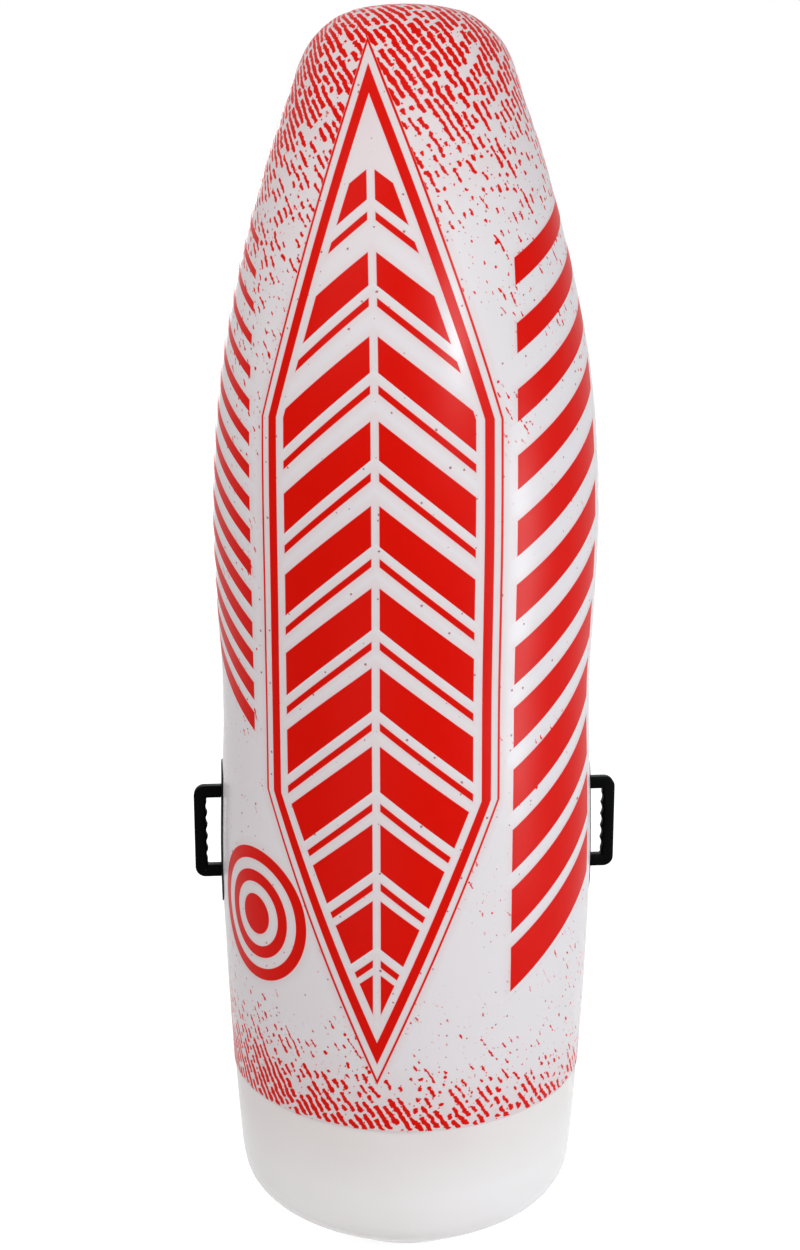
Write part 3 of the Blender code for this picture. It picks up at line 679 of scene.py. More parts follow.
# %% Specks and dashes
FILM_WHITE = srgb(217, 213, 216)
# The pink white below is painted light: red light scattered through the film from the print.
FILM_PAINTED_RED_SCATTER = srgb(215, 203, 205)
PAINTED_SCATTER_REACH = 0.016
PRINT_RED = srgb(207, 12, 0)
DARK_SPECK = srgb(140, 24, 44)
CRISP = 0.0009
PRINT_MARGIN = 0.0012
CHAIN_PITCH = 0.0126
CHAIN_LEAN_DEG = 33.0
CHAIN_SWAY = 0.008
LANE_SHIFT = 7.7
DASH_BEAT = 54.0
DASH_REACH = 0.044
DASH_JAGS = 190.0
DASH_ROUNDING = 0.0032
SWAY_SCALE, BLOT_SCALE = 42.0, 150.0
TONE_BROADENS, LEAST_HALF = 0.42, 0.08
TONE_LENGTHENS, BEAT_REST = 0.42, 0.62
JAG_WIDTH, BLOT_WIDTH = 0.0018, 0.0046
HEM_ROUNDING = 0.0024
HEM_RAGS = 0.009
HEM_REST = 0.35
SHAKE_SCALE, SHAKE_REACH = 420.0, 0.0022


def dashes(finish, across, up, tone):
    """Leaning chains of brushed dashes. Tone, from 0 to 1, makes them longer and broader.

    The chains are lanes side by side. Each lane has its own beat along it, which says where a
    dash starts and ends. Its sides are ragged, and the last dash of a lane is rounded off above
    the hem.
    """
    lean = math.radians(CHAIN_LEAN_DEG)
    flat = finish.join(across, up)
    sway = (finish.noise(flat, SWAY_SCALE, 2.0, "2D") - 0.5) * CHAIN_SWAY
    lanes = (across * math.cos(lean) + up * math.sin(lean) + sway) / CHAIN_PITCH
    along = up * math.cos(lean) - across * math.sin(lean)
    off = abs(lanes.part() - 0.5) * CHAIN_PITCH
    lane = lanes.whole() * LANE_SHIFT
    beat = finish.noise(finish.join(lane, along * DASH_BEAT), 1.0, 1.0, "2D")
    jags = finish.noise(finish.join(lane, along * DASH_JAGS), 1.0, 1.0, "2D") - 0.5
    blots = finish.noise(flat, BLOT_SCALE, 1.0, "2D") - 0.5
    ragged = jags * JAG_WIDTH + blots * BLOT_WIDTH
    half = (tone * TONE_BROADENS + LEAST_HALF) * CHAIN_PITCH + ragged
    to_end = (beat + tone * TONE_LENGTHENS - BEAT_REST) * DASH_REACH
    foot = (finish.noise(finish.join(lane, 0.5), 1.0, 0.0, "2D") - HEM_REST) * HEM_RAGS
    above_hem = up - (HEM + PRINT_MARGIN) - foot
    return (half - off).round_meet(to_end, DASH_ROUNDING).round_meet(above_hem, HEM_ROUNDING)


def specks(finish, across, up, spacing, largest, share):
    """Small ragged spots, one in a share of the cells, of many sizes."""
    vector = finish.shake(finish.join(across, up), SHAKE_SCALE, SHAKE_REACH)
    node = add_node(finish.tree, "ShaderNodeTexVoronoi", {"voronoi_dimensions": "2D"},
                    {"Vector": vector, "Scale": 1.0 / spacing})
    distance = Wire(finish.tree, node.outputs["Distance"])
    chance = finish.split(Wire(finish.tree, node.outputs["Color"]))
    size = (chance[0] - (1.0 - share)).ramp(0.0, share) * (largest / spacing)
    return (size - distance).edge(CRISP / spacing)


# %% Shapes of the print
DIAMOND_ACROSS = -0.070
DIAMOND_HALF_WIDTH = 0.150
DIAMOND_LOW = 0.500
DIAMOND_HIGH = 1.880
LOW_TAPER = 0.42
HIGH_TAPER = 0.34
CHEVRON_PITCH = 0.126
CHEVRON_RISE = 0.80
CHEVRONS_END = 1.840
CHEVRON_LEAST, CHEVRON_GAIN = 0.34, 0.34
THIN_LINE_FROM = 0.76
THIN_LINE_TO = 0.86
SPINE_HALF_WIDTH = 0.006
OUTLINE_NEAR = 0.014
OUTLINE_FAR = 0.030
HAIRLINE_NEAR = 0.041
HAIRLINE_FAR = 0.045


def band(value, low, high):
    """How far inside a band a value lies."""
    middle, half = (low + high) / 2, (high - low) / 2
    return half - abs(value - middle)


def stroke(place, share):
    """How far inside the first share of a repeat a place lies."""
    return share * 0.5 - abs(place - share * 0.5)


def long_diamond(across, up, margin):
    """How far inside the six-sided diamond a point lies, the diamond grown by a margin."""
    off = abs(across - DIAMOND_ACROSS)
    side = DIAMOND_HALF_WIDTH + margin - off
    low_end = (up - DIAMOND_LOW) * LOW_TAPER - off + margin
    high_end = (DIAMOND_HIGH - up) * HIGH_TAPER - off + margin
    return side.both(low_end).both(high_end)


def diamond_line(across, up, near, far):
    return long_diamond(across, up, far).both(0.0 - long_diamond(across, up, near))


def diamond_frame(across, up):
    """A broad line round the diamond, and a hairline outside it."""
    broad = diamond_line(across, up, OUTLINE_NEAR, OUTLINE_FAR)
    return broad.either(diamond_line(across, up, HAIRLINE_NEAR, HAIRLINE_FAR))


def chevrons(across, up):
    """Stacked chevrons, bolder lower down, each with a thin line above it and a bare spine."""
    off = abs(across - DIAMOND_ACROSS)
    place = ((up + off * CHEVRON_RISE) / CHEVRON_PITCH).part()
    lower = (DIAMOND_HIGH - up).ramp(0.0, DIAMOND_HIGH - DIAMOND_LOW)
    broad = stroke(place, lower * CHEVRON_GAIN + CHEVRON_LEAST)
    thin = band(place, THIN_LINE_FROM, THIN_LINE_TO)
    strokes = broad.either(thin) * CHEVRON_PITCH
    inside = long_diamond(across, up, 0.0).both(off - SPINE_HALF_WIDTH).both(CHEVRONS_END - up)
    return strokes.both(inside)


# A column of slanted bars: its two sides, its two ends, the bars' pitch and slant, and their share
# of the pitch at the low and at the high end.
RIGHT_COLUMN = (0.150, 0.375, 0.440, 1.640, 0.100, 0.62, 0.78, 0.40)
LEFT_COLUMN = (0.295, 0.470, 0.760, 1.560, 0.050, 0.62, 0.62, 0.24)


def bars(outwards, up, column):
    """How far inside a bar a point lies. Outwards is across, away from the front's middle."""
    inner, outer, low, high, pitch, slant, low_share, high_share = column
    slanted = up - outwards * slant
    place = ((slanted - low) / pitch).part()
    share = slanted.ramp(low, high) * (high_share - low_share) + low_share
    inside = band(outwards, inner, outer).both(band(slanted, low, high))
    return (stroke(place, share) * pitch).both(inside)


RINGS_ACROSS = -0.300
RINGS_UP = 0.640
RING_RADII = ((0.112, 0.092), (0.074, 0.054), (0.034, -0.001))
RINGS_MARGIN = 0.124


def rings(across, up):
    """Rings to aim at, low on the viewer's left, and the clear field round them."""
    x, y = across - RINGS_ACROSS, up - RINGS_UP
    reach = (x * x + y * y).root()
    shape = None
    for outer, inner in RING_RADII:
        ring = band(reach, inner, outer)
        shape = ring if shape is None else shape.either(ring)
    return shape, RINGS_MARGIN - reach


# %% The film's surface and its welds
WELD_BAND = 0.012
WELD_CELLS = 420.0
WELD_DEPTH = 0.00022
WELD_SOFT = 0.0012
FILM_ROUGHNESS = 0.17
INK_DULLNESS = 0.12
SLOW_SCALE, SLOW_DULLNESS = 14.0, 0.10
GRAIN_SCALE, GRAIN_DULLNESS = 700.0, 0.04
FILM_WAVE, FINE_GRAIN = 0.0012, 0.00004


def weld_marks(first, second, inside):
    """Small diamonds, pressed in where the mask says. The two values are places in metres."""
    falling = ((first + second) * WELD_CELLS).zigzag()
    rising = ((first - second) * WELD_CELLS).zigzag()
    return falling.both(rising) * inside


def hem_band(z):
    return (HEM + WELD_BAND - z).edge(WELD_SOFT)


def seam_and_hem(x, y, z):
    """The front film's welds: along both side seams and along the hem."""
    radius = (x * x + y * y).root()
    azimuth = x.maths("ARCTAN2", x, 0.0 - y)
    to_edge = (math.radians(SEAM_DEG) - abs(azimuth)) * radius
    on_weld = (WELD_BAND - to_edge).edge(WELD_SOFT).either(hem_band(z))
    return weld_marks(azimuth * radius, z, on_weld)


def hem_only(x, y, z):
    return weld_marks(x, z, hem_band(z))


def floor_ring(x, y, z):
    """The weld that joins the tank's floor to its wall."""
    reach = (x * x + y * y).root()
    rim = half_size("base_floor").x
    on_ring = (reach - (rim - WELD_BAND)).both(rim + WELD_SOFT - reach)
    return weld_marks(x, y, on_ring.edge(WELD_SOFT))


def film_surface(finish, welds, ink=None):
    """The soft unevenness of calendered film, and its pressed welds. Ink is duller."""
    place = finish.place()
    slow = finish.noise(place, SLOW_SCALE)
    fine = finish.noise(place, GRAIN_SCALE)
    roughness = slow * SLOW_DULLNESS + fine * GRAIN_DULLNESS + FILM_ROUGHNESS
    finish.paint("Roughness", roughness if ink is None else ink * INK_DULLNESS + roughness)
    waves = finish.bump(slow, FILM_WAVE, strength=0.6)
    pressed = finish.bump(welds(*finish.split(place)), WELD_DEPTH, strength=0.8, under=waves)
    finish.paint("Normal", finish.bump(fine, FINE_GRAIN, strength=0.5, under=pressed))


# %% Printed film
CROWN_TONES = ((1.50, 1.73, 0.12), (1.73, 1.82, 0.20), (1.87, 2.02, 0.38))
LEFT_LONGER = 0.12
MOST_TONE = 0.60
HEM_TONE = 0.42
LEFT_HEM_TONE = 0.26
HEM_REACH = 0.078
LEFT_HEM_REACH = 0.100
PEPPER_TONE = 0.10
PEPPER_REACH = 0.26
CROWN_LEFT_FROM, HEM_LEFT_FROM, LEFT_TO = 0.10, 0.34, -0.30
PATCHY_SCALE, PATCHINESS = 8.0, 0.20
GRAIN_FROM, GRAIN_SOFT = 0.02, 0.03
DUST_FROM, DUST_SOFT = 0.06, 0.12
PAINTED_SCATTER_FROM, PAINTED_SCATTER_SPAN = 0.10, 0.4
DARK_SHARE = 0.8

# Specks: the cells' spacing, the largest speck, and the share of the cells that have one.
DUST = (0.010, 0.0016, 0.40)
SPOTS = (0.040, 0.0032, 0.25)
DARK_FLECKS = (0.021, 0.0020, 0.30)


def print_tone(finish, across, up):
    """How dense the dashes are: more towards the crown and the hem, and more on the left."""
    patchy = finish.noise(finish.join(across, up), PATCHY_SCALE, 3.0, "2D")
    left = across.ramp(CROWN_LEFT_FROM, LEFT_TO)
    crown_tone = 0.0
    for start, end, share in CROWN_TONES:
        crown_tone = (left * LEFT_LONGER + up).ramp(start, end) * share + crown_tone
    above = up - HEM
    leftward = across.ramp(HEM_LEFT_FROM, LEFT_TO)
    faded = (above / (leftward * LEFT_HEM_REACH + HEM_REACH)).ramp(1.0, 0.0)
    pepper = above.ramp(PEPPER_REACH, 0.0) * PEPPER_TONE
    hem_tone = faded * (leftward * LEFT_HEM_TONE + HEM_TONE) + pepper
    return (crown_tone.either(hem_tone) + (patchy - 0.5) * PATCHINESS).both(MOST_TONE)


def printed_film():
    finish = Finish("printed_film", specular=0.05)
    across, up, _ = finish.sheet(SHEET)
    tone = print_tone(finish, across, up)
    ring_shape, ring_field = rings(across, up)
    motifs = chevrons(across, up).either(diamond_frame(across, up)).either(ring_shape)
    motifs = motifs.either(bars(across, up, RIGHT_COLUMN))
    motifs = motifs.either(bars(0.0 - across, up, LEFT_COLUMN))
    clear = (0.0 - long_diamond(across, up, HAIRLINE_FAR).either(ring_field)).edge(CRISP)
    has_grain = (tone - GRAIN_FROM).edge(GRAIN_SOFT)
    dash_ink = dashes(finish, across, up, tone).edge(CRISP) * has_grain * clear
    dust = specks(finish, across, up, *DUST) * (tone - DUST_FROM).edge(DUST_SOFT)
    small = specks(finish, across, up, *SPOTS).either(dust) * clear
    on_print = (up - (HEM + PRINT_MARGIN)).edge(CRISP)
    ink = motifs.edge(CRISP).either(dash_ink).either(small) * on_print
    flecks = specks(finish, across, up, *DARK_FLECKS)
    # Painted light: the white film turns pink near the red shapes and where the dashes are dense, a
    # painted red glow of light scattered through the film from the print.
    painted_red_scatter = motifs.ramp(-PAINTED_SCATTER_REACH, 0.0).either((tone - PAINTED_SCATTER_FROM).ramp(0.0, PAINTED_SCATTER_SPAN))
    colour = finish.mix(ink, finish.mix(painted_red_scatter, FILM_WHITE, FILM_PAINTED_RED_SCATTER), PRINT_RED)
    bare_flecks = (1.0 - ink) * flecks * DARK_SHARE
    finish.paint("Base Color", finish.mix(bare_flecks, colour, DARK_SPECK))
    film_surface(finish, seam_and_hem, ink)
    return finish


# %% White film and frosted film
BACK_FLECKS = (0.026, 0.0016, 0.10)
BACK_DARK_SHARE = 0.4
FROST_GREY, FROST_WHITE = srgb(230, 227, 226), srgb(235, 234, 236)
CLOUD_SCALE = 5.0
# The tank's shadow is painted into the frosted film's colour, in a band below the hem.
TANK_SHADOW = srgb(220, 214, 212)
TANK_SHADOW_FROM, TANK_SHADOW_TO = 0.19, 0.28
SHADOW_LEAST, SHADOW_STRENGTH = 0.3, 0.8


def white_film():
    finish = Finish("white_film", specular=0.10)
    across, up, _ = finish.sheet(SHEET)
    flecks = specks(finish, across, up, *BACK_FLECKS)
    finish.paint("Base Color", finish.mix(flecks * BACK_DARK_SHARE, FILM_WHITE, DARK_SPECK))
    film_surface(finish, hem_only)
    return finish


def frosted_film():
    """Milky film, with a faint, cloudy shadow of the diaphragm painted below the hem."""
    finish = Finish("frosted_film", specular=0.06)
    place = finish.place()
    _, _, z = finish.split(place)
    cloud = finish.noise(place, CLOUD_SCALE)
    milky = finish.mix(cloud, FROST_GREY, FROST_WHITE)
    # Painted shadow: the colour darkens in a cloudy band below the hem, where the diaphragm lies
    # behind the film.
    shadow = z.ramp(TANK_SHADOW_FROM, TANK_SHADOW_TO) * (cloud + SHADOW_LEAST)
    finish.paint("Base Color", finish.mix(shadow * SHADOW_STRENGTH, milky, TANK_SHADOW))
    film_surface(finish, floor_ring)
    return finish


printed = printed_film()
plain = white_film()
frosted = frosted_film()
hand_in(front, "root", "printed_film", printed, "front_panel")
hand_in(back, "root", "white_film", plain, "back_panel")
hand_in(base, "root", "frosted_film", frosted, "base_wall")
hand_in(floor_film, "root", "frosted_film", frosted, "base_floor")

# %% [markdown]
# ## Inside the tank
# Two pieces lie inside and never show from above: the slack diaphragm between air and water, and
# the water itself. The diaphragm's dish is drawn in where it meets its skirt, so it gets radial
# puckers. The water takes its shape from the films that hold it, so its wall is their outline
# moved inwards. Its edge creeps up the film a little, all round.

# %% Diaphragm and water
DIAPHRAGM_FILM = 0.0006
PUCKERS_ROUND = 36
RADIAL_PUCKER = 0.0012
INNER_STEPS = 144
SLACK_FROM, SLACK_FULL, SLACK_HELD, SLACK_TO = 0.55, 0.85, 0.90, 0.99
MENISCUS = 0.003


def make_diaphragm():
    outline = curve_through(outline_of("tank_diaphragm"), ROW_SPACING)
    piece = spin_piece("tank_diaphragm_film", outline, INNER_STEPS)
    face_out(piece)
    places, radius, turn = polar(piece)
    rim = radius.max()
    slack = smooth_step(radius, rim * SLACK_FROM, rim * SLACK_FULL)
    slack = slack * smooth_step(-radius, -rim * SLACK_TO, -rim * SLACK_HELD)
    places[:, 2] += np.sin(turn * PUCKERS_ROUND) * RADIAL_PUCKER * slack
    move_points(piece, places)
    give_thickness(piece, DIAPHRAGM_FILM)
    shade_round(piece, FILM_SHARP_DEG)
    return piece


def make_water():
    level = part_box("water_ballast")[1].z
    over_wall = inset(base_outline, BASE_FILM + LAP_GAP)
    over_floor = inset(floor_outline, 2 * (BASE_FILM + LAP_GAP))
    wall = [Vector((0.0, over_floor[0].y))]
    wall += [point for point in over_floor if MERGE < point.x < over_wall[0].x - ROW_SPACING / 2]
    wall += [point for point in over_wall if point.y < level - MENISCUS]
    wall.append(Vector((radius_at(base_outline, level) - BASE_FILM - LAP_GAP, level)))
    edge = wall[-1].x
    surface = []
    for share in (0.25, 0.5, 0.75, 1.0):
        dip = MENISCUS * (1.0 - (1.0 - share) ** 2) / 2
        surface.append((edge - 2 * MENISCUS * share, level - dip))
    flat = surface[-1][1]
    surface += [(edge * share, flat) for share in (0.75, 0.5, 0.25, 0.0)]
    piece = spin_piece("water_body", wall + surface, INNER_STEPS)
    shade_round(piece, SMALL_SHARP_DEG)
    return piece


CLEAR_WATER, CLOUDY_WATER = srgb(196, 220, 230), srgb(176, 190, 184)
CLOUDS_TOP = 0.09
WATER_ROUGHNESS, CLOUDS_DULLNESS = 0.04, 0.10


def tank_film():
    """Clear film, cockled where it hangs slack."""
    return mottled("tank_film", scale=18.0, detail=3.0, roughness=(0.30, 0.44),
                   colours=(srgb(214, 220, 222), srgb(232, 236, 237)), specular=0.3, alpha=0.7,
                   bumps=grain(scale=40.0, distance=0.0010, strength=0.5, detail=2.0))


def still_water():
    """Water that has stood in the tank: clear, barely blue, a little cloudy at the bottom."""
    finish = Finish("still_water", alpha=0.5, ior=1.33)
    place = finish.place()
    _, _, z = finish.split(place)
    cloudy = finish.noise(place, scale=9.0, detail=3.0) * z.ramp(CLOUDS_TOP, 0.0)
    finish.paint("Base Color", finish.mix(cloudy, CLEAR_WATER, CLOUDY_WATER))
    finish.paint("Roughness", cloudy * CLOUDS_DULLNESS + WATER_ROUGHNESS)
    ripples = grain(scale=30.0, distance=0.0006, strength=0.4, detail=2.0)
    finish.paint("Normal", ripples(finish, place))
    return finish


hand_in(make_diaphragm(), "root", "tank_film", tank_film(), "tank_diaphragm")
hand_in(make_water(), "root", "water", still_water(), "water_ballast")

# %% [markdown]
# ## The handles
# Each handle is one black rubber moulding: a D with a straight grip, rounded corners, and five
# finger hollows with a crest between each two. Its outline is drawn once, filled, and pulled
# through its depth; then the rims are bevelled. Its legs end on the weld patch, so their last
# points are set on the patch's round surface. A pin cuts the small hole near the lower corner.

# %% Handle
GRIP_WIDTH = 0.0208
LEG_HEIGHT = 0.0207
HANDLE_CORNER = 0.0175
INNER_CORNER = 0.0022
CORNER_STEPS, INNER_CORNER_STEPS = 12, 4
LEG_SUNK = 0.004
HANDLE_RIM = 0.0036
HANDLE_RIM_STEPS = 4
FINGERS = 5
HOLLOWS_END = 0.15
FINGER_PITCH = 0.0212
HOLLOW = 0.0015
CREST = 0.0017
POINTS_PER_FINGER = 10
TIE_HOLE = 0.0018
TIE_HOLE_INSET = 0.0168
TIE_HOLE_RISE = 0.0125
SEAT_GAP = 0.0003


def arc(centre_x, centre_y, radius, from_deg, to_deg, steps):
    points = []
    for index in range(steps + 1):
        angle = math.radians(from_deg + (to_deg - from_deg) * index / steps)
        points.append((centre_x + radius * math.cos(angle), centre_y + radius * math.sin(angle)))
    return points


def finger_hollows(inner_x):
    """The grip's inner edge from the top down, about the middle of the handle."""
    reach = FINGERS / 2 - HOLLOWS_END
    count = round(2 * reach * POINTS_PER_FINGER)
    edge = []
    for index in range(count + 1):
        place = reach - 2 * reach * index / count
        edge.append((inner_x + (HOLLOW + CREST) * abs(math.cos(math.pi * place)) - CREST,
                     place * FINGER_PITCH))
    return edge


def handle_outline(node):
    """Across and up from the handle's middle, for a handle on the side of +X."""
    outer = max(abs(corner.x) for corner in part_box(node))
    half = half_size(node).z
    root = outer - half_size(node).x * 2 - LEG_SUNK
    inner = outer - GRIP_WIDTH
    inner_x, inner_z = inner - INNER_CORNER, half - LEG_HEIGHT - INNER_CORNER
    corner_x, corner_z = outer - HANDLE_CORNER, half - HANDLE_CORNER
    outline = [(root, -half)] + arc(corner_x, -corner_z, HANDLE_CORNER, -90, 0, CORNER_STEPS)
    outline += arc(corner_x, corner_z, HANDLE_CORNER, 0, 90, CORNER_STEPS)
    outline += [(root, half), (root, half - LEG_HEIGHT)]
    outline += arc(inner_x, inner_z, INNER_CORNER, 90, 0, INNER_CORNER_STEPS)
    outline += finger_hollows(inner)
    outline += arc(inner_x, -inner_z, INNER_CORNER, 0, -90, INNER_CORNER_STEPS)
    return outline + [(root, LEG_HEIGHT - half)]


def fill_and_pull(way):
    """Close the drawn line, fill it with a face, and pull that through."""
    bpy.ops.mesh.select_all(action="SELECT")
    bpy.ops.mesh.edge_face_add()
    bpy.ops.mesh.extrude_region_move(TRANSFORM_OT_translate={"value": way})


def select_edges(piece, wanted):
    """Go into edit mode, with the edges selected whose two ends pass a test."""
    bpy.ops.object.mode_set(mode="EDIT")
    bpy.ops.mesh.select_all(action="DESELECT")
    bpy.ops.mesh.select_mode(type="EDGE")
    bpy.ops.object.mode_set(mode="OBJECT")
    for edge in piece.data.edges:
        edge.select = wanted(*(piece.data.vertices[index].co for index in edge.vertices))
    bpy.ops.object.mode_set(mode="EDIT")


def make_handle(side, node):
    depth = half_size(node).y * 2
    middle_z = middle_of(node).z
    outline = handle_outline(node)
    root = outline[0][0]
    piece = start_piece(node + "_moulding")
    draw_line([(side * x, -depth / 2, middle_z + z) for x, z in outline])
    fill_and_pull((0.0, depth, 0.0))
    close_piece()

    def on_rim(a, b):
        """Along the outline, and not the legs' short ends at the root."""
        past_root = min(abs(a.x), abs(b.x)) > root + MERGE
        along_leg = abs(a.z - b.z) < MERGE and abs(a.x - b.x) > HANDLE_RIM
        return abs(a.y - b.y) < MERGE and (past_root or along_leg)

    select_edges(piece, on_rim)
    bpy.ops.mesh.bevel(offset=HANDLE_RIM, segments=HANDLE_RIM_STEPS, affect="EDGES",
                       clamp_overlap=False)
    close_piece()
    seat_on_patch(piece, root)
    low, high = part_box(node)
    hole_x = side * (max(abs(low.x), abs(high.x)) - TIE_HOLE_INSET)
    cut_hole(piece, TIE_HOLE, depth * 1.5, (hole_x, 0.0, low.z + TIE_HOLE_RISE))
    shade_round(piece, HANDLE_SHARP_DEG)
    return piece


def seat_on_patch(piece, root):
    """Set the legs' end points on the patch's round surface."""
    places = points_of(piece)
    for row in places:
        if abs(row[0]) < root + MERGE:
            reach = radius_at(wall_outline, row[2]) + PATCH_FILM + 2 * SEAT_GAP
            row[0] = math.copysign(math.sqrt(reach * reach - row[1] * row[1]), row[0])
    move_points(piece, places)


# %% Weld patch
PATCH_FILM = 0.0020
PATCH_BEVEL = 0.0005
PATCH_COLUMNS = 14
PATCH_ROWS = 60


def round_ended(across, along, half_width, half_length):
    """Where a place on a square grid, from -1 to 1 both ways, lies on a strip with round ends."""
    straight = half_length - half_width
    reach = abs(along) * half_length
    into_end = max(reach - straight, 0.0) / half_width
    up = min(reach, straight) + half_width * into_end * math.sqrt(1.0 - across * across / 2)
    narrowing = math.sqrt(1.0 - into_end * into_end / 2)
    return half_width * across * narrowing, math.copysign(up, along)


def make_patch(side, node):
    """A long strip of film with round ends, bent round the skin."""
    size, middle = half_size(node), middle_of(node)
    half_width, half_length = size.y, size.z
    bpy.ops.object.select_all(action="DESELECT")
    bpy.ops.mesh.primitive_grid_add(x_subdivisions=PATCH_COLUMNS, y_subdivisions=PATCH_ROWS,
                                    size=2.0)
    piece = bpy.context.object
    piece.name = node + "_film"
    places = points_of(piece)
    for row in places:
        across, up = round_ended(row[0], row[1], half_width, half_length)
        height = middle.z + up
        reach = radius_at(wall_outline, height) + SEAT_GAP + PATCH_FILM
        turn = across / reach
        row[:] = (side * reach * math.cos(turn), reach * math.sin(turn), height)
    move_points(piece, places)
    face_out(piece)
    give_thickness(piece, PATCH_FILM)
    bevel_sharp(piece, PATCH_BEVEL, RIM_SHARP_DEG)
    shade_round(piece, RIM_SHARP_DEG)
    return piece


def weld_grid(finish, place):
    """The pressed grid of a weld, all over."""
    _, y, z = finish.split(place)
    return finish.bump(weld_marks(y, z, 1.0), distance=0.0002, strength=0.5)


def black_rubber():
    """Moulded rubber: near black, with a fine spark-eroded grain and a faint bloom."""
    return mottled("black_rubber", scale=22.0, detail=3.0, roughness=(0.42, 0.56),
                   colours=(srgb(2, 2, 2), srgb(7, 7, 7)), specular=0.02,
                   bumps=grain(scale=1500.0, distance=0.00006, strength=0.6))


def patch_film():
    """Black film, pressed with the weld's grid."""
    return mottled("patch_film", scale=30.0, detail=3.0, roughness=(0.36, 0.48),
                   colours=(srgb(3, 3, 3), srgb(9, 9, 9)), specular=0.03, bumps=weld_grid)


rubber = black_rubber()
weld_black = patch_film()
for side, name in ((1.0, "right"), (-1.0, "left")):
    hand_in(make_patch(side, name + "_handle_patch"), "root", "patch_film", weld_black,
            name + "_handle_patch")
    hand_in(make_handle(side, name + "_handle"), "root", "black_rubber", rubber, name + "_handle")

# %% [markdown]
# ## The welded valve bases
# On the back the film has two moulded valves, for air above the hem and for water below it. Each
# base is a flange that follows the round skin, with a turned column in the middle. It is turned as
# a flat piece about its own Z and laid against the back. Its flange is then sunk to the skin's
# curve, less and less up the column.

# %% Placing what is turned
ROUND_STEPS = 96
THREAD_DEPTH = 0.0007
GROOVE_FLOOR, GROOVE_TOP = 0.12, 0.30
LOW_OUT, HIGH_OUT, HIGH_IN, LOW_IN = -90.0, 0.0, 90.0, 180.0
TINY_EDGE, FINE_EDGE, SMALL_EDGE, SOFT_EDGE = 0.0003, 0.0004, 0.0005, 0.0008


def face_back(piece, seat, height):
    """Lay a piece that was made about its own Z along +Y, its zero at the seat."""
    pick(piece)
    piece.rotation_euler = (math.radians(-90.0), 0.0, 0.0)
    piece.location = (0.0, seat, height)
    bpy.ops.object.transform_apply(location=True, rotation=True, scale=True)


def finish_on_back(piece, seat, height, sharp_deg):
    face_back(piece, seat, height)
    shade_round(piece, sharp_deg)
    return piece


def round_corner(radius, height, rounding, quarter, steps=4):
    """A rounded corner of a profile, whose sharp corner would lie at the radius and height."""
    middle = math.radians(quarter + 45.0)
    centre_x = radius - math.copysign(rounding, math.cos(middle))
    centre_z = height - math.copysign(rounding, math.sin(middle))
    return arc(centre_x, centre_z, rounding, quarter, quarter + 90.0, steps)


def fillet(radius, height, rounding, steps=2):
    """The hollow corner between a level face and the wall that rises from it."""
    return arc(radius + rounding, height + rounding, rounding, 270.0, 180.0, steps)


def press_thread(piece, radius, low, high, pitch):
    """Press a thread's groove into a plain round wall, fading at both ends."""
    places, reach, turn = polar(piece)
    height = places[:, 2]
    phase = (height / pitch - turn / (2 * math.pi)) % 1.0
    ridge = smooth_step(np.abs(phase - 0.5), GROOVE_FLOOR, GROOVE_TOP)
    fade = smooth_step(height, low, low + pitch / 2)
    fade = fade * smooth_step(-height, -high, pitch / 2 - high)
    on_wall = np.abs(reach - radius) < 2 * MERGE
    draw_in(piece, places, np.where(on_wall, ridge * fade * THREAD_DEPTH / radius, 0.0))


def press_ribs(piece, radius, ribs, depth, low, high):
    """Press upright flutes into a rim, fading towards its rounded edges."""
    places, reach, turn = polar(piece)
    flute = 0.5 - 0.5 * np.cos(turn * ribs)
    from_low, from_high = places[:, 2] - low, high - places[:, 2]
    fade = smooth_step(np.minimum(from_low, from_high), -MERGE, depth)
    on_rim = reach > radius - 2 * depth
    draw_in(piece, places, np.where(on_rim, flute * fade * depth / radius, 0.0))


def rows(radius, start, end, spacing):
    """Points up or down a straight wall, without its first."""
    count = max(1, round(abs(end - start) / spacing))
    return [(radius, start + (end - start) * (index + 1) / count) for index in range(count)]


# %% Welded bases
FLANGE = 0.0016
FLANGE_ROUNDING = 0.0006
COLUMN_FILLET = 0.0012
WELD_GROOVE = 0.0004
SOCKET_RADIUS = 0.0265
SOCKET_HEIGHT = 0.0100
SINK_MARGIN = 0.001
COLLAR_RADIUS = 0.0205
COLLAR_HEIGHT = 0.0045
COLLAR_EDGE = 0.0006
NECK_RADIUS = 0.0155
NECK_HEIGHT = 0.0140
CAP_PITCH = 0.0030
THREAD_ROWS = 0.00035
THREAD_LEAD_IN, THREAD_RUN_OUT = 0.002, 0.001
WELD_IN, WELD_OUT = 0.0040, 0.0025


def flange_profile(flange_radius, column_radius):
    """From the flange's underside out, over its rim and in to the column's foot."""
    weld_from, weld_to = column_radius + WELD_IN, flange_radius - WELD_OUT
    profile = [(column_radius, SEAT_GAP), ((column_radius + flange_radius) / 2, SEAT_GAP)]
    profile += round_corner(flange_radius, SEAT_GAP, TINY_EDGE, LOW_OUT, 2)
    profile += round_corner(flange_radius, FLANGE, FLANGE_ROUNDING, HIGH_OUT)
    profile += [(weld_to, FLANGE), (weld_to - WELD_GROOVE, FLANGE - WELD_GROOVE)]
    middle = (weld_from + weld_to) / 2
    profile += [(middle, FLANGE - WELD_GROOVE), (weld_from + WELD_GROOVE, FLANGE - WELD_GROOVE)]
    profile += [(weld_from, FLANGE)]
    return profile + fillet(column_radius, FLANGE, COLUMN_FILLET, 4)


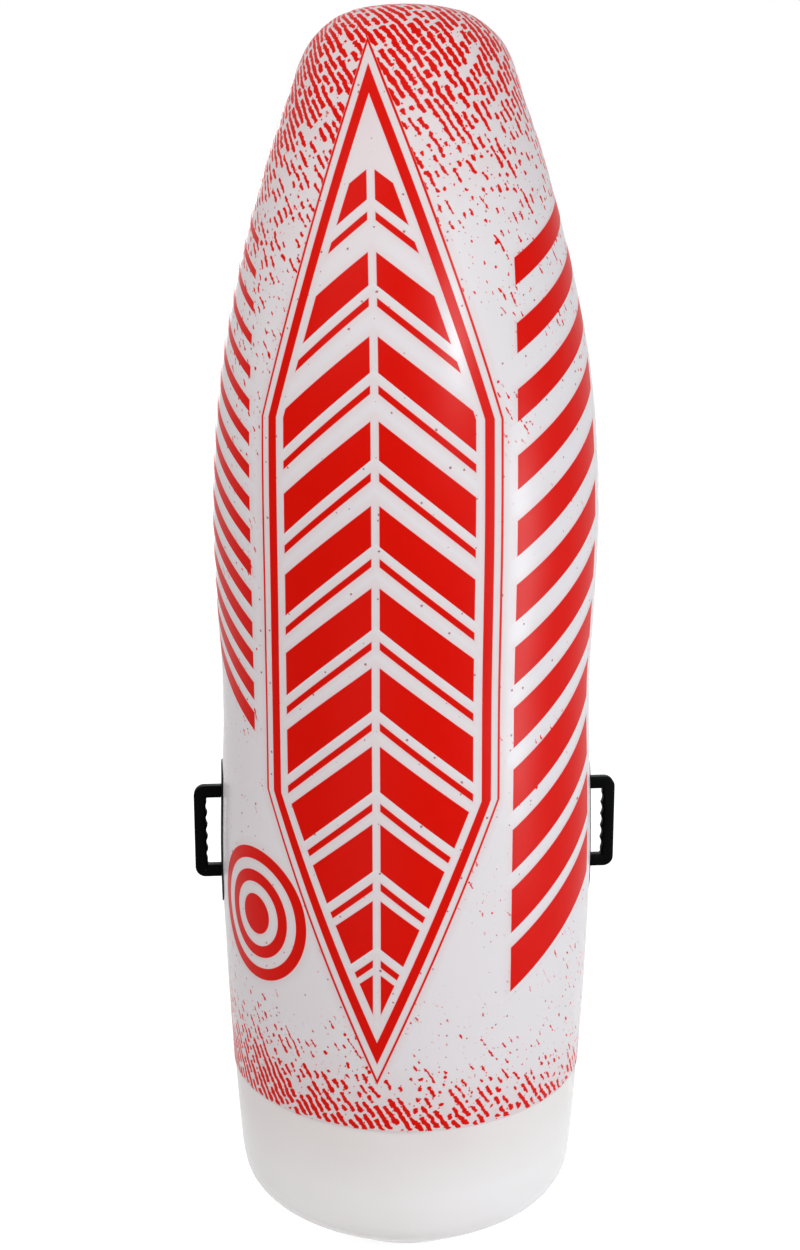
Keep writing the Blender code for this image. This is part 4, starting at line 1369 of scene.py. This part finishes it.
def neck_profile(radius, bore, seat, top):
    """A threaded neck, from its foot up the outside and in to its bore."""
    profile = fillet(radius, seat, SMALL_EDGE)
    profile += rows(radius, seat + SMALL_EDGE, top - SOFT_EDGE, THREAD_ROWS)
    profile += round_corner(radius, top, SOFT_EDGE, HIGH_OUT)
    return profile + round_corner(bore, top, SMALL_EDGE, HIGH_IN, 2)


def sink_to_skin(piece, outline, height, top):
    """Bend the flange round the skin. What lies higher up the column moves less."""
    places = points_of(piece)
    heights = [point.y for point in outline]
    radii = [point.x for point in outline]
    radius = np.interp(places[:, 2], heights, radii)
    middle = np.interp(height, heights, radii)
    sag = middle - np.sqrt(radius**2 - places[:, 0]**2)
    rise = places[:, 1] - middle
    places[:, 1] -= sag * (1.0 - smooth_step(rise, FLANGE, top))
    move_points(piece, places)


def make_air_base():
    profile = flange_profile(half_size("air_valve_base").x, SOCKET_RADIUS)
    profile += round_corner(SOCKET_RADIUS, SOCKET_HEIGHT, SOFT_EDGE, HIGH_OUT)
    profile += round_corner(SOCKET_BORE, SOCKET_HEIGHT, FINE_EDGE, HIGH_IN, 2)
    profile += rows(SOCKET_BORE, SOCKET_HEIGHT - FINE_EDGE, SEAT_GAP, THREAD_ROWS)
    profile += [profile[0]]
    piece = spin_piece("air_valve_base_moulding", profile, ROUND_STEPS)
    face_back(piece, radius_at(back_line, AIR_HEIGHT), AIR_HEIGHT)
    sink_to_skin(piece, back_line, AIR_HEIGHT, SOCKET_HEIGHT - SINK_MARGIN)
    shade_round(piece)
    return piece


def make_water_base():
    profile = flange_profile(half_size("water_valve_base").x, COLLAR_RADIUS)
    top = COLLAR_HEIGHT + NECK_HEIGHT
    profile += round_corner(COLLAR_RADIUS, COLLAR_HEIGHT, COLLAR_EDGE, HIGH_OUT)
    profile += neck_profile(NECK_RADIUS, NECK_BORE, COLLAR_HEIGHT, top)
    profile += [(NECK_BORE, SEAT_GAP), profile[0]]
    piece = spin_piece("water_valve_base_moulding", profile, ROUND_STEPS)
    press_thread(piece, NECK_RADIUS, COLLAR_HEIGHT + THREAD_LEAD_IN, top - THREAD_RUN_OUT,
                 CAP_PITCH)
    face_back(piece, radius_at(base_outline, WATER_HEIGHT), WATER_HEIGHT)
    sink_to_skin(piece, base_outline, WATER_HEIGHT, COLLAR_HEIGHT)
    shade_round(piece)
    return piece


WELD_SPOKES = 120
WELD_HOOPS = 900.0
AIR_WELD, WATER_WELD_IN, WATER_WELD_OUT = 0.010, 0.0046, 0.0030
GRID_SOFT, GRID_DEPTH = 0.0006, 0.0005
PLASTIC_GREY, PLASTIC_WHITE = srgb(206, 206, 204), srgb(228, 229, 229)
PLASTIC_ROUGHNESS, PLASTIC_DULLNESS = 0.34, 0.16
MOTTLE_SHARE = 0.6


def moulded_plastic():
    """White moulded plastic, with the weld's pressed grid on both flanges."""
    finish = Finish("moulded_plastic", specular=0.35)
    place = finish.place()
    x, _, z = finish.split(place)
    is_air = z.maths("GREATER_THAN", z, (AIR_HEIGHT + WATER_HEIGHT) / 2)
    rise = z - (is_air * (AIR_HEIGHT - WATER_HEIGHT) + WATER_HEIGHT)
    reach = (x * x + rise * rise).root()
    turn = x.maths("ARCTAN2", rise, x)
    weld_from = is_air * (SOCKET_RADIUS - COLLAR_RADIUS) + (COLLAR_RADIUS + WATER_WELD_IN)
    weld_to = is_air * AIR_WELD + (half_size("water_valve_base").x - WATER_WELD_OUT)
    on_weld = (reach - weld_from).both(weld_to - reach).edge(GRID_SOFT)
    spokes = (turn * (WELD_SPOKES / (2 * math.pi))).zigzag()
    hoops = (reach * WELD_HOOPS).zigzag()
    mottle = finish.noise(place, scale=60.0, detail=3.0)
    flecks = finish.noise(place, scale=180.0, detail=4.0)
    tone = mottle * MOTTLE_SHARE + flecks * (1.0 - MOTTLE_SHARE)
    finish.paint("Base Color", finish.mix(tone, PLASTIC_GREY, PLASTIC_WHITE))
    finish.paint("Roughness", mottle * PLASTIC_DULLNESS + PLASTIC_ROUGHNESS)
    pressed = finish.bump(spokes.both(hoops) * on_weld, GRID_DEPTH, strength=0.7)
    fine = finish.noise(place, scale=1200.0, detail=1.0)
    finish.paint("Normal", finish.bump(fine, FINE_GRAIN, strength=0.5, under=pressed))
    return finish


plastic = moulded_plastic()
hand_in(make_air_base(), "root", "valve_plastic", plastic, "air_valve_base")
hand_in(make_water_base(), "root", "valve_plastic", plastic, "water_valve_base")

# %% [markdown]
# ## The air insert, its seal and its flap
# The insert screws into the socket. Its head has flutes for the fingers, and its neck carries the
# cap. The threads are pressed into plain round walls: a point moves in where its height and its
# turn say that it lies in the groove. The rubber seal lies under the head, and the flap hangs
# behind it on a small tab.

# %% Insert
SEAL_LOW = SOCKET_HEIGHT + SEAT_GAP
SEAL_THICKNESS = 0.0015
SEAL_WIDTH = 0.0038
INSERT_SHOULDER = SEAL_LOW + SEAL_THICKNESS + SEAT_GAP
INSERT_HEAD = 0.0030
INSERT_HEAD_RADIUS = 0.0255
INSERT_SEAT = INSERT_SHOULDER + INSERT_HEAD
INSERT_NECK_RADIUS = 0.0145
INSERT_NECK_HEIGHT = 0.0120
INSERT_BORE = 0.0110
INSERT_WALL = 0.0030
INSERT_PITCH = 0.0040
INSERT_THREAD_RADIUS = SOCKET_BORE - SEAT_GAP
HEAD_FLUTES = 32
HEAD_FLUTE_DEPTH = 0.0007
HEAD_ROWS = 0.0003
air_skin = radius_at(back_line, AIR_HEIGHT)


def make_insert():
    low_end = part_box("air_valve_insert")[0].y - air_skin
    neck_top = INSERT_SEAT + INSERT_NECK_HEIGHT
    inside = INSERT_THREAD_RADIUS - INSERT_WALL
    profile = [(INSERT_BORE, INSERT_SHOULDER), (inside, INSERT_SHOULDER), (inside, low_end)]
    profile += round_corner(INSERT_THREAD_RADIUS, low_end, SMALL_EDGE, LOW_OUT, 2)
    profile += rows(INSERT_THREAD_RADIUS, low_end + SMALL_EDGE, INSERT_SHOULDER, THREAD_ROWS)
    profile += round_corner(INSERT_HEAD_RADIUS, INSERT_SHOULDER, FINE_EDGE, LOW_OUT, 3)
    profile += rows(INSERT_HEAD_RADIUS, INSERT_SHOULDER + FINE_EDGE, INSERT_SEAT - SOFT_EDGE,
                    HEAD_ROWS)
    profile += round_corner(INSERT_HEAD_RADIUS, INSERT_SEAT, SOFT_EDGE, HIGH_OUT)
    profile += neck_profile(INSERT_NECK_RADIUS, INSERT_BORE, INSERT_SEAT, neck_top)
    profile += [(INSERT_BORE, INSERT_SHOULDER)]
    piece = spin_piece("air_valve_insert_moulding", profile, 2 * ROUND_STEPS)
    press_thread(piece, INSERT_NECK_RADIUS, INSERT_SEAT + THREAD_LEAD_IN,
                 neck_top - THREAD_RUN_OUT, CAP_PITCH)
    press_thread(piece, INSERT_THREAD_RADIUS, low_end + THREAD_RUN_OUT,
                 INSERT_SHOULDER - THREAD_LEAD_IN, INSERT_PITCH)
    press_ribs(piece, INSERT_HEAD_RADIUS, HEAD_FLUTES, HEAD_FLUTE_DEPTH, INSERT_SHOULDER,
               INSERT_SEAT)
    return finish_on_back(piece, air_skin, AIR_HEIGHT, SMALL_SHARP_DEG)


def make_ring(name, inner, outer, low, high, rounding):
    """A ring with a rounded section."""
    profile = [(inner + rounding, low)]
    profile += round_corner(outer, low, rounding, LOW_OUT, 3)
    profile += round_corner(outer, high, rounding, HIGH_OUT, 3)
    profile += round_corner(inner, high, rounding, HIGH_IN, 3)
    profile += round_corner(inner, low, rounding, LOW_IN, 3)
    piece = spin_piece(name, profile, ROUND_STEPS)
    shade_round(piece, FILM_SHARP_DEG)
    return piece


# %% Flap
FLAP_RADIUS = INSERT_BORE + 0.0025
FLAP_TAB = 0.0040
FLAP_HINGE = 0.0160
FLAP_THICKNESS = 0.0015


def make_flap():
    """A round flap with its tab, drawn flat, pulled through and rounded along both rims."""
    start = math.degrees(math.acos(FLAP_TAB / FLAP_RADIUS))
    outline = arc(0.0, 0.0, FLAP_RADIUS, 180.0 - start, 360.0 + start, 60)
    outline += [(FLAP_TAB, FLAP_HINGE), (-FLAP_TAB, FLAP_HINGE)]
    back_face = air_skin + INSERT_SHOULDER - SEAT_GAP
    piece = start_piece("air_valve_flap_rubber")
    draw_line([(x, back_face - FLAP_THICKNESS, AIR_HEIGHT + z) for x, z in outline])
    fill_and_pull((0.0, FLAP_THICKNESS, 0.0))
    close_piece()
    select_edges(piece, lambda a, b: abs(a.y - b.y) < MERGE)
    bpy.ops.mesh.bevel(offset=FINE_EDGE, segments=3, affect="EDGES", clamp_overlap=True)
    close_piece()
    shade_round(piece, RIM_SHARP_DEG)
    return piece


def soft_rubber():
    """Soft valve rubber: dark, dull, dusted a little grey."""
    return mottled("soft_rubber", scale=240.0, detail=4.0, roughness=(0.52, 0.70),
                   colours=(srgb(26, 26, 27), srgb(48, 48, 49)), specular=0.3,
                   bumps=grain(scale=2200.0, distance=0.00005, strength=0.5))


soft = soft_rubber()
hand_in(make_insert(), "insert", "valve_plastic", plastic, "air_valve_insert")
seal_inner = INSERT_THREAD_RADIUS + SEAT_GAP
seal = make_ring("air_valve_seal_ring", seal_inner, seal_inner + SEAL_WIDTH, SEAL_LOW,
                 SEAL_LOW + SEAL_THICKNESS, SMALL_EDGE)
face_back(seal, air_skin, AIR_HEIGHT)
hand_in(seal, "insert_seal", "valve_rubber", soft, "air_valve_seal")
hand_in(make_flap(), "flap", "valve_rubber", soft, "air_valve_flap")

# %% [markdown]
# ## The screw caps, their washers and their straps
# Both caps are the same shape in two sizes: a ribbed rim, a slightly dished top, and a stud that
# keeps the strap. The strap is stamped from flat rubber, two rings joined by a band. It is made
# flat, cut across many times where it has to bend, and led over the rim and down to the neck.

# %% Caps
CAP_WALL = 0.0036
CAP_TOP = 0.0025
CAP_ROUNDING = 0.0010
CAP_DISH = 0.0005
CAP_RIM = 0.0042
CAP_CHAMFER = 0.0010
CAP_ROWS = 0.0010
CAP_TURNS = 1.5
CAP_RIBS = 48
CAP_RIB_DEPTH = 0.0006
WASHER_THICKNESS = 0.0012
STRAP_THICKNESS = 0.0016
STRAP_ROOM = 0.0018
STRAP_RING_WIDTH = 0.0042
STRAP_HALF_WIDTH = 0.0045
STUD_RADIUS = 0.0030
STUD_HEAD_RADIUS = 0.0055
STUD_HEAD = 0.0018
STUD_FILLET = 0.0006
STUD_FOOT = 0.0010
STUD_EDGE = 0.0009
CAP_RISE = CAP_PITCH * CAP_TURNS


def cap_levels(neck_height):
    """The heights of a cap's parts above its seat.

    They are the washer's underside, the cap's ceiling, its top, and the feet of the strap's
    ring and of the stud's head.
    """
    washer_low = neck_height + SEAT_GAP
    ceiling = washer_low + WASHER_THICKNESS + SEAT_GAP
    top = ceiling + CAP_TOP
    ring_low = top + SEAT_GAP + CAP_RISE
    return washer_low, ceiling, top, ring_low, ring_low + STRAP_ROOM + SEAT_GAP


def make_cap(name, neck_radius, neck_height, seat, height):
    washer_low, ceiling, top, ring_low, stud_head = cap_levels(neck_height)
    inner = neck_radius + SEAT_GAP
    outer = inner + CAP_WALL
    rim = 2 * SEAT_GAP + STRAP_ROOM
    head_top = stud_head + STUD_HEAD
    profile = [(0.0, ceiling), (inner - CAP_CHAMFER, ceiling), (inner, ceiling - CAP_CHAMFER),
               (inner, rim)]
    profile += round_corner(outer, rim, FINE_EDGE, LOW_OUT, 3)
    profile += rows(outer, rim + FINE_EDGE, top - CAP_ROUNDING, CAP_ROWS)
    profile += round_corner(outer, top, CAP_ROUNDING, HIGH_OUT, 6)
    profile += arc(outer - CAP_RIM, top - CAP_DISH, SMALL_EDGE, 60.0, 90.0, 2)
    profile += [(STUD_RADIUS + STUD_FOOT, top - CAP_DISH)]
    profile += fillet(STUD_RADIUS, top - CAP_DISH, STUD_FILLET, 3)
    profile += [(STUD_RADIUS, stud_head)]
    profile += round_corner(STUD_HEAD_RADIUS, stud_head, TINY_EDGE, LOW_OUT, 2)
    profile += round_corner(STUD_HEAD_RADIUS, head_top, STUD_EDGE, HIGH_OUT)
    profile += [(0.0, head_top)]
    piece = spin_piece(name, profile, 4 * CAP_RIBS)
    press_ribs(piece, outer, CAP_RIBS, CAP_RIB_DEPTH, rim, top)
    return finish_on_back(piece, seat, height, SMALL_SHARP_DEG)


def make_washer(name, neck_radius, neck_height, seat, height):
    low = cap_levels(neck_height)[0]
    profile = [(0.0, low)] + round_corner(neck_radius, low, TINY_EDGE, LOW_OUT, 3)
    profile += round_corner(neck_radius, low + WASHER_THICKNESS, TINY_EDGE, HIGH_OUT, 3)
    profile += [(0.0, low + WASHER_THICKNESS)]
    piece = spin_piece(name, profile, ROUND_STEPS)
    return finish_on_back(piece, seat, height, RIM_SHARP_DEG)


def cap_plastic():
    """Black moulded plastic, worn paler in patches."""
    return mottled("cap_plastic", scale=90.0, detail=4.0, roughness=(0.30, 0.48),
                   colours=(srgb(20, 20, 21), srgb(40, 40, 42)), specular=0.4,
                   bumps=grain(scale=1600.0, distance=0.00005, strength=0.5))


# %% Straps
STRAP_BEND = 0.0045
STRAP_CUTS = 28
RING_SIDES = 72


def strap_track(strap_reach, low, high):
    """The straight and bent stretches from the stud's axis, over the rim, to the neck's axis."""
    straight = strap_reach - STRAP_BEND
    corner = STRAP_BEND * math.pi / 2
    fall = high - low - 2 * STRAP_BEND
    return straight, corner, fall


def lead_strap(places, strap_reach, low, high):
    """Bend a flat strap round its track. X is along it, Y across and Z through it."""
    straight, corner, fall = strap_track(strap_reach, low, high)
    along, across, through = places.T
    over = np.clip(along - straight, 0.0, corner) / STRAP_BEND
    down = np.clip(along - straight - corner, 0.0, fall)
    under = np.clip(along - straight - corner - fall, 0.0, corner) / STRAP_BEND
    home = np.maximum(along - straight - 2 * corner - fall, 0.0)
    out = np.minimum(along, straight) + STRAP_BEND * (np.sin(over) + np.cos(under) - 1.0) - home
    up = high - STRAP_BEND * (1.0 - np.cos(over) + np.sin(under)) - down
    turn = over + under
    return np.column_stack([across, out + through * np.sin(turn), up + through * np.cos(turn)])


def flat_strap(name, length, stud_ring, neck_ring):
    """Two rings, (inner, outer) radii at X = 0 and at the length, and a band between them."""
    outline = []
    for centre, (_, outer), start in ((0.0, stud_ring, 0.0), (length, neck_ring, 180.0)):
        half = math.degrees(math.asin(STRAP_HALF_WIDTH / outer))
        outline += arc(centre, 0.0, outer, start + half, start + 360.0 - half, RING_SIDES)
    piece = start_piece(name)
    draw_line([(x, y, -STRAP_THICKNESS / 2) for x, y in outline])
    fill_and_pull((0.0, 0.0, STRAP_THICKNESS))
    close_piece()
    for centre, (inner, _) in ((0.0, stud_ring), (length, neck_ring)):
        cut_hole(piece, inner, 4 * STRAP_THICKNESS, (centre, 0.0, 0.0), RING_SIDES, tilt_deg=0.0)
    return piece


def cut_across(piece, places):
    """Cut a piece through at many places along X, so that it can bend there."""
    pick(piece)
    bpy.ops.object.mode_set(mode="EDIT")
    for place in places:
        bpy.ops.mesh.select_all(action="SELECT")
        bpy.ops.mesh.bisect(plane_co=(place, 0.0, 0.0), plane_no=(1.0, 0.0, 0.0))
    close_piece()


def make_strap(name, neck_radius, neck_height, seat, height):
    inner = neck_radius + SEAT_GAP
    reach = inner + STRAP_RING_WIDTH + STRAP_BEND
    low = SEAT_GAP + STRAP_ROOM / 2
    high = cap_levels(neck_height)[3] + STRAP_ROOM / 2
    straight, corner, fall = strap_track(reach, low, high)
    length = 2 * straight + 2 * corner + fall
    hole = STUD_RADIUS + SEAT_GAP
    piece = flat_strap(name, length, (hole, hole + STRAP_RING_WIDTH),
                       (inner, inner + STRAP_RING_WIDTH))
    bent = length - 2 * straight
    cut_across(piece, [straight + bent * index / STRAP_CUTS for index in range(STRAP_CUTS + 1)])
    bevel_sharp(piece, TINY_EDGE, FILM_SHARP_DEG)
    move_points(piece, lead_strap(points_of(piece), reach, low, high))
    return finish_on_back(piece, seat, height, SMALL_SHARP_DEG)


dark_plastic = cap_plastic()
water_skin = radius_at(base_outline, WATER_HEIGHT)
AIR_CAP = (INSERT_NECK_RADIUS, INSERT_NECK_HEIGHT, air_skin + INSERT_SEAT, AIR_HEIGHT)
WATER_CAP = (NECK_RADIUS, NECK_HEIGHT, water_skin + COLLAR_HEIGHT, WATER_HEIGHT)
for prefix, carrier, sizes in (("air", "insert", AIR_CAP), ("water", "root", WATER_CAP)):
    cap, washer, strap = prefix + "_cap", prefix + "_cap_washer", prefix + "_cap_strap"
    hand_in(make_cap(cap + "_moulding", *sizes), cap, "cap_plastic", dark_plastic, cap)
    disc = make_washer(washer + "_disc", *sizes)
    hand_in(disc, prefix + "_washer", "valve_rubber", soft, washer)
    hand_in(make_strap(strap + "_rubber", *sizes), carrier, "valve_rubber", soft, strap)

# %% [markdown]
# ## Light and floor
# The photograph is a catalogue picture: soft light from large panes, and white all round. One
# pane lights the crown from above, and one the back. Two panes only shine: they make the gleams on
# the film, and don't raise the level. The floor and the room are white to the camera.

# %% World, floor and lamps
def camera_sees(tree):
    """1 for what the camera sees straight on, mirrored or through glass."""
    path = add_node(tree, "ShaderNodeLightPath")
    direct = Wire(tree, path.outputs["Is Camera Ray"])
    mirrored = Wire(tree, path.outputs["Is Glossy Ray"])
    through = Wire(tree, path.outputs["Is Transmission Ray"])
    return direct.either(mirrored).either(through)


WHITE = (1.0, 1.0, 1.0, 1.0)
ROOM_TINT = (1.0, 0.980, 0.975, 1.0)
ROOM_LIGHT = 0.39
FLOOR_SIZE = 60.0
FLOOR_MATT, FLOOR_PALE = (0.88, 0.88, 0.88, 1.0), (0.30, 0.30, 0.30, 1.0)
FLOOR_GLOW = 0.90


def add_shader(tree, kind, *sockets):
    """A shader's output. Its sockets are given in their own order."""
    node = add_node(tree, "ShaderNode" + kind, None, dict(enumerate(sockets)))
    return Wire(tree, node.outputs[0])


def light_world():
    world = bpy.data.worlds.new("studio")
    world.use_nodes = True
    bpy.context.scene.world = world
    tree = world.node_tree
    tree.nodes.clear()
    room = add_shader(tree, "Background", ROOM_TINT, ROOM_LIGHT)
    white = add_shader(tree, "Background", WHITE, 1.0)
    blend = add_shader(tree, "MixShader", camera_sees(tree), room, white)
    add_node(tree, "ShaderNodeOutputWorld", None, {0: blend})


def add_floor():
    bpy.ops.object.select_all(action="DESELECT")
    bpy.ops.mesh.primitive_plane_add(size=FLOOR_SIZE)
    ground = bpy.context.object
    ground.name = "studio_floor"
    material = bpy.data.materials.new("studio_floor")
    material.use_nodes = True
    tree = material.node_tree
    tree.nodes.clear()
    matt = add_shader(tree, "BsdfDiffuse", FLOOR_MATT)
    pale = add_shader(tree, "BsdfDiffuse", FLOOR_PALE)
    glow = add_shader(tree, "Emission", WHITE, FLOOR_GLOW)
    lit = add_shader(tree, "AddShader", pale, glow)
    blend = add_shader(tree, "MixShader", camera_sees(tree), matt, lit)
    add_node(tree, "ShaderNodeOutputMaterial", None, {0: blend})
    ground.data.materials.append(material)


WARM_LIGHT = (1.0, 0.955, 0.945)
COOL_LIGHT = (0.940, 0.980, 1.0)
PLAIN_LIGHT = (1.0, 1.0, 1.0)

# Panes: azimuth in degrees, distance, height, width, upright size, power, the height that it aims
# at, tint, and whether it only shines.
PANES = {
    "key_pane": (58.0, 2.2, 0.90, 1.1, 1.0, 18.5, 0.95, COOL_LIGHT, False),
    "glint_pane": (24.0, 2.2, 2.23, 0.32, 0.32, 7.0, 1.5, COOL_LIGHT, False),
    "left_pane": (-42.0, 2.4, 2.9, 2.0, 1.6, 31.5, 1.6, WARM_LIGHT, False),
    "low_pane": (-25.0, 2.2, 0.3, 1.4, 0.5, 4.5, 0.1, PLAIN_LIGHT, False),
    "glint_shine": (24.0, 2.2, 2.23, 0.30, 0.50, 56.0, 1.5, COOL_LIGHT, True),
    "side_shine": (60.0, 2.2, 0.90, 0.40, 1.30, 60.0, 1.0, COOL_LIGHT, True),
    "crown_pane": (10.0, 1.5, 3.5, 1.0, 1.0, 9.0, 1.95, COOL_LIGHT, False),
    "back_pane": (180.0, 3.4, 1.5, 2.4, 2.2, 62.0, 0.9, COOL_LIGHT, False),
}


def add_pane(name, azimuth_deg, distance, height, width, tall, power, aim_height, tint, shine_only):
    """A large soft lamp, aimed at the axis. Azimuth is counted from the front, towards +X."""
    lamp = bpy.data.lights.new(name, "AREA")
    lamp.shape = "RECTANGLE"
    lamp.size = width
    lamp.size_y = tall
    lamp.energy = power
    lamp.color = tint
    holder = bpy.data.objects.new(name, lamp)
    holder.visible_diffuse = not shine_only
    bpy.context.scene.collection.objects.link(holder)
    turn = math.radians(azimuth_deg)
    holder.location = (distance * math.sin(turn), -distance * math.cos(turn), height)
    aim = Vector((0.0, 0.0, aim_height)) - holder.location
    holder.rotation_euler = aim.to_track_quat("-Z", "Y").to_euler()


light_world()
add_floor()
for name, settings in PANES.items():
    add_pane(name, *settings)
print(len(PANES), "panes of light")

# %% Last settings
print("CAD nodes left showing:", [name for name, node in nodes.items() if not node.hide_render])
bpy.context.scene.view_settings.view_transform = "Standard"
